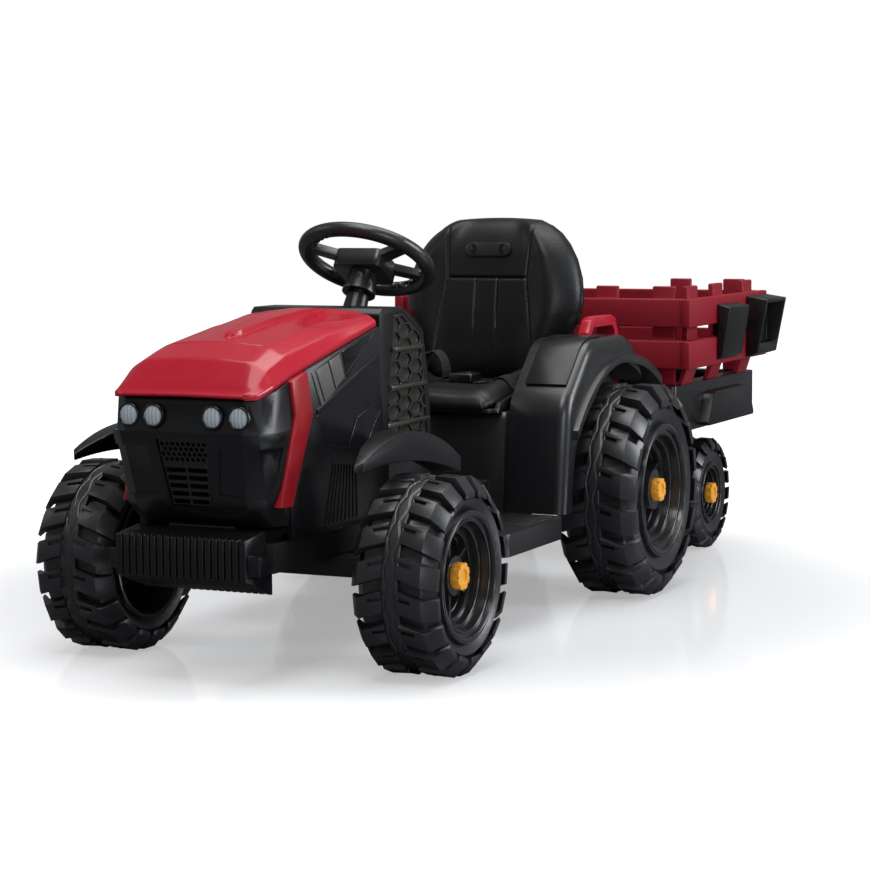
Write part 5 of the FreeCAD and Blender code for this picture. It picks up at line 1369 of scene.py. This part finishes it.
@dataclass
class SeatBelt:
    """The lap belt: two webbing straps and a buckle lying on the cushion.

    Args:
        shop: the finishes.
        pads: the pads that it lies on.
        middle: place of the belt's middle line along Y.
        width: the webbing's width, and thick its thickness.
        left_ends: where the left strap starts and ends across the seat, as right_ends does for the right.
        loop_high: how high the right strap's slack stands.
        loop_at: start and length of that loop as shares of the strap.
        loop_lean: how far the loop leans, as a share of its height.
        lift_share: how far a strap's middle lies above the cushion, as a share of its thickness.
        sag: the most that a strap's edges sink, and how closely they follow the cushion.
        points: steps along a strap, and ribs those across it.
        keep_degrees: edges sharper than this stay crisp.
        buckle_at: the buckle's place across the seat.
        case: the buckle's size, with its middle case_high above the cushion and edges rounded by case_round.
        bar: the press bar's size, with its middle bar_at to the left and bar_high above the cushion.
        bar_round: how far the press bar's edges are rounded.
        buckle_degrees: the buckle's edges sharper than this stay crisp.
    """

    shop: FinishShop
    pads: SeatPads
    middle: float = -0.0005
    width: float = 0.025
    thick: float = 0.0016
    left_ends: tuple[float, float] = (0.043, 0.100)
    right_ends: tuple[float, float] = (0.012, -0.098)
    loop_high: float = 0.038
    loop_at: tuple[float, float] = (0.12, 0.27)
    loop_lean: float = 0.22
    lift_share: float = 0.8
    sag: tuple[float, float] = (0.001, 0.6)
    points: int = 80
    ribs: int = 9
    keep_degrees: float = 60.0
    buckle_at: float = 0.027
    case: tuple[float, float, float] = (0.034, 0.032, 0.013)
    case_high: float = 0.0055
    case_round: float = 0.0035
    bar: tuple[float, float, float] = (0.012, 0.020, 0.0022)
    bar_at: float = 0.006
    bar_high: float = 0.0122
    bar_round: float = 0.0009
    buckle_degrees: float = 40.0

    def build(self) -> None:
        """Make the straps and the buckle."""
        buckle = self._buckle()
        for name, ends, loop in (("belt_left", self.left_ends, 0.0), ("belt_right", self.right_ends, self.loop_high)):
            strap, length = self._strap(name, ends, loop)
            settle(strap, node="seat_belt")
            LOG.info("%s: flat %.3f by %.3f m", name, self.width, length)

    def _line(self, ends: tuple[float, float], loop: float) -> list[tuple[float, float]]:
        """Draw a strap's line across the seat.

        Args:
            ends: where it starts and ends across the seat.
            loop: how high its slack stands.
        Returns:
            Places across and heights.
        """
        line = []
        start, span = self.loop_at
        for index in range(self.points + 1):
            share = index / self.points
            turn = min(1.0, max(0.0, (share - start) / span))
            hump = math.sin(math.pi * turn) ** 2 * loop
            lean = math.sin(2.0 * math.pi * turn) * loop * self.loop_lean
            x = ends[0] + (ends[1] - ends[0]) * share + lean
            line.append((x, self.pads.seat_height(x, self.middle) + self.thick * self.lift_share + hump))
        return line

    def _strap(self, name: str, ends: tuple[float, float], loop: float) -> tuple[bpy.types.Object, float]:
        """Make one strap.

        Args:
            name: the strap's name.
            ends: where it starts and ends across the seat.
            loop: how high its slack stands.
        Returns:
            The strap and its flat length.
        """
        line = self._line(ends, loop)
        length = sum(math.dist(a, b) for a, b in zip(line, line[1:]))
        ribs, (deepest, follow) = self.ribs, self.sag
        verts, faces = [], []
        for x, z in line:
            for k in range(ribs):
                across = (k / (ribs - 1) - 0.5) * self.width
                drop = self.pads.seat_height(x, self.middle + across) - self.pads.seat_height(x, self.middle)
                verts.append((x, self.middle + across, z + max(drop, -deepest) * follow))
        for i in range(len(line) - 1):
            for k in range(ribs - 1):
                a = i * ribs + k
                faces.append((a, a + 1, a + ribs + 1, a + ribs))
        strap = joined_mesh(name, verts, faces, self.shop.materials["belt_web"], self.keep_degrees)
        body = strap.modifiers.new("cloth", "SOLIDIFY")
        body.thickness = self.thick
        body.offset = 0.0
        apply_all(strap)
        return strap, length

    def _buckle(self) -> bpy.types.Object:
        """Make the buckle: a rounded case with a press bar.

        Returns:
            The buckle.
        """
        high = self.pads.seat_height(self.buckle_at, self.middle)
        case = self._block((self.buckle_at, self.middle, high + self.case_high), self.case, self.case_round, 4)
        bar_place = (self.buckle_at + self.bar_at, self.middle, high + self.bar_high)
        bar = self._block(bar_place, self.bar, self.bar_round, 3)
        join(case, [bar])
        case.name = "belt_buckle"
        case.data.materials.append(self.shop.materials["black_gloss"])
        smooth(case, self.buckle_degrees)
        settle(case)
        return case

    @staticmethod
    def _block(place: tuple[float, float, float], size: tuple[float, float, float], edge: float,
               steps: int) -> bpy.types.Object:
        """Make a block with rounded edges.

        Args:
            place: its middle.
            size: its length along each axis.
            edge: the radius of its edges.
            steps: faces round an edge.
        Returns:
            The block.
        """
        bpy.ops.object.select_all(action="DESELECT")
        bpy.ops.mesh.primitive_cube_add(size=1.0, location=place)
        block = bpy.context.active_object
        block.scale = size
        place_applied()
        bpy.ops.object.mode_set(mode="EDIT")
        bpy.ops.mesh.select_all(action="SELECT")
        bpy.ops.mesh.bevel(offset=edge, segments=steps, affect="EDGES")
        bpy.ops.object.mode_set(mode="OBJECT")
        return block


@dataclass(frozen=True)
class SoftBox:
    """One lamp of the studio.

    Args:
        name: its name.
        place: where it hangs.
        size: its length and width.
        watts: its power.
        tone: its colour.
    """

    name: str
    place: tuple[float, float, float]
    size: tuple[float, float]
    watts: float
    tone: tuple[float, float, float] = (1.0, 1.0, 1.0)


COOL = (0.92, 0.95, 1.0)
SOFT_BOXES = (
    SoftBox("key", (0.4, -1.9, 3.2), (1.6, 1.0), 46.0),
    SoftBox("fill", (-2.6, -1.4, 1.9), (1.4, 1.4), 8.0),
    SoftBox("top", (0.3, 0.3, 2.7), (2.0, 2.6), 66.0),
    SoftBox("front", (2.4, -2.2, 1.0), (1.1, 1.0), 20.0, COOL),
    SoftBox("rim", (2.8, 1.1, 1.3), (1.0, 1.6), 58.0, COOL),
)


@dataclass
class Studio:
    """Camera, lights and floor of the photograph.

    Args:
        eye: camera position in the row frame, in metres.
        yaw: turn of the view about Z.
        pitch: tilt of the view below the horizon.
        roll: turn about the line of sight.
        focal_px: focal length in pixels of a square picture.
        pixels: side of the picture.
        sensor: width of the camera's sensor in millimetres.
        sight: how far the camera sees.
        aim: the point that the lamps face.
        floor_side: length of the floor's sides.
        floor_gloss: the floor's roughness and the strength of its reflections.
        floor_tone: the floor's colour, and floor_mirrored the one that shiny pieces reflect.
        glow_reach: distances from the middle between which the floor's glow rises, and glow its two strengths.
        room_tone: colour of the light from all round, and room_level its strength.
        room_mirrored: how much of the white background shiny pieces reflect.
    """

    eye: tuple[float, float, float] = (1.2924, -2.7944, 0.5163)
    yaw: float = 0.438
    pitch: float = 0.099
    roll: float = -0.006
    focal_px: float = 2373.8
    pixels: int = 870
    sensor: float = 36.0
    sight: float = 60.0
    aim: tuple[float, float, float] = (0.0, 0.0, 0.25)
    floor_side: float = 14.0
    floor_gloss: tuple[float, float] = (0.10, 0.8)
    floor_tone: tuple[float, float, float, float] = (0.50, 0.505, 0.52, 1.0)
    floor_mirrored: tuple[float, float, float, float] = (0.12, 0.12, 0.13, 1.0)
    glow_reach: tuple[float, float] = (0.40, 1.05)
    glow: tuple[float, float] = (0.36, 1.0)
    room_tone: tuple[float, float, float, float] = (0.93, 0.96, 1.0, 1.0)
    room_level: float = 0.15
    room_mirrored: float = 0.08

    def build(self) -> None:
        """Set up the whole studio."""
        scene = bpy.context.scene
        scene.render.engine = "CYCLES"
        scene.view_settings.view_transform = "Standard"
        scene.render.resolution_x = scene.render.resolution_y = self.pixels
        self._camera(scene)
        self._lights()
        self._floor()
        self._world(scene)

    def _camera(self, scene: bpy.types.Scene) -> None:
        """Place the camera where the photograph was taken.

        Args:
            scene: the scene that it looks at.
        """
        look = Vector((-math.sin(self.yaw) * math.cos(self.pitch), math.cos(self.yaw) * math.cos(self.pitch),
                       -math.sin(self.pitch)))
        level = Vector((math.cos(self.yaw), math.sin(self.yaw), 0.0))
        rise = level.cross(look)
        right = level * math.cos(self.roll) + rise * math.sin(self.roll)
        up = rise * math.cos(self.roll) - level * math.sin(self.roll)
        data = bpy.data.cameras.new("photo_camera")
        data.sensor_width = self.sensor
        data.lens = self.focal_px * self.sensor / self.pixels
        data.clip_end = self.sight
        camera = bpy.data.objects.new("photo_camera", data)
        scene.collection.objects.link(camera)
        turn = Matrix((right, up, -look)).transposed().to_4x4()
        camera.matrix_world = Matrix.Translation(self.eye) @ turn
        scene.camera = camera

    def _lights(self) -> None:
        """Hang the soft boxes."""
        for box in SOFT_BOXES:
            data = bpy.data.lights.new(box.name, "AREA")
            data.shape = "RECTANGLE"
            data.size, data.size_y = box.size
            data.energy = box.watts
            data.color = box.tone
            lamp = bpy.data.objects.new(box.name, data)
            bpy.context.scene.collection.objects.link(lamp)
            lamp.location = box.place
            aim = Vector(self.aim) - Vector(box.place)
            lamp.rotation_euler = aim.to_track_quat("-Z", "Y").to_euler()

    def _floor(self) -> None:
        """Lay the pale floor, whose glow hides its far edge from the camera."""
        bpy.ops.object.select_all(action="DESELECT")
        bpy.ops.mesh.primitive_plane_add(size=self.floor_side, location=(0.0, 0.0, 0.0))
        floor = bpy.context.active_object
        floor.name = "studio_floor"
        material = bpy.data.materials.new("studio_floor")
        material.use_nodes = True
        shader = material.node_tree.nodes["Principled BSDF"]
        nodes, links = material.node_tree.nodes, material.node_tree.links
        shader.inputs["Roughness"].default_value, shader.inputs["Specular IOR Level"].default_value = self.floor_gloss
        shader.inputs["Emission Color"].default_value = (1.0, 1.0, 1.0, 1.0)
        place, away = nodes.new("ShaderNodeTexCoord"), nodes.new("ShaderNodeVectorMath")
        span, path = nodes.new("ShaderNodeMapRange"), nodes.new("ShaderNodeLightPath")
        glow, tone = nodes.new("ShaderNodeMath"), nodes.new("ShaderNodeMix")
        away.operation = "LENGTH"
        span.interpolation_type = "SMOOTHSTEP"
        for name, value in zip(("From Min", "From Max", "To Min", "To Max"), self.glow_reach + self.glow):
            span.inputs[name].default_value = value
        tone.data_type = "RGBA"
        tone.inputs["A"].default_value = self.floor_tone
        tone.inputs["B"].default_value = self.floor_mirrored
        links.new(path.outputs["Is Glossy Ray"], tone.inputs["Factor"])
        links.new(tone.outputs["Result"], shader.inputs["Base Color"])
        glow.operation = "MULTIPLY"
        links.new(place.outputs["Object"], away.inputs[0])
        links.new(away.outputs["Value"], span.inputs["Value"])
        links.new(path.outputs["Is Camera Ray"], glow.inputs[0])
        links.new(span.outputs["Result"], glow.inputs[1])
        links.new(glow.outputs[0], shader.inputs["Emission Strength"])
        floor.data.materials.append(material)

    def _world(self, scene: bpy.types.Scene) -> None:
        """Light the room softly, and show white behind the object.

        Args:
            scene: the scene that it surrounds.
        """
        world = bpy.data.worlds.new("studio")
        world.use_nodes = True
        nodes, links = world.node_tree.nodes, world.node_tree.links
        soft = nodes["Background"]
        soft.inputs["Color"].default_value = self.room_tone
        soft.inputs["Strength"].default_value = self.room_level
        white = nodes.new("ShaderNodeBackground")
        white.inputs["Color"].default_value = (1.0, 1.0, 1.0, 1.0)
        white.inputs["Strength"].default_value = 1.0
        path, mix = nodes.new("ShaderNodeLightPath"), nodes.new("ShaderNodeMixShader")
        mirror, seen, clear = (nodes.new("ShaderNodeMath") for _ in range(3))
        mirror.operation = "MULTIPLY"
        mirror.inputs[1].default_value = self.room_mirrored
        seen.operation = clear.operation = "MAXIMUM"
        links.new(path.outputs["Is Glossy Ray"], mirror.inputs[0])
        links.new(path.outputs["Is Camera Ray"], seen.inputs[0])
        links.new(mirror.outputs[0], seen.inputs[1])
        links.new(seen.outputs[0], clear.inputs[0])
        links.new(path.outputs["Is Transmission Ray"], clear.inputs[1])
        links.new(clear.outputs[0], mix.inputs["Fac"])
        links.new(soft.outputs["Background"], mix.inputs[1])
        links.new(white.outputs["Background"], mix.inputs[2])
        links.new(mix.outputs["Shader"], nodes["World Output"].inputs["Surface"])
        scene.world = world


def main() -> None:
    """Build the whole scene."""
    logging.basicConfig(level=logging.INFO)
    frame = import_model()
    shop = FinishShop()
    FrameDresser(frame, shop).dress()
    TreadBelts(frame, shop).build()
    RimBeads(frame, shop).build()
    HoodShell(shop).build()
    pads = SeatPads(shop)
    pads.build()
    SeatBelt(shop, pads).build()
    FlankTrim(shop).build()
    DashTrim(shop).build()
    LampBezels(shop).build()
    Studio().build()
    LOG.info("dressed %d pieces", len(frame["nodes"]))


if __name__ == "__main__":
    main()
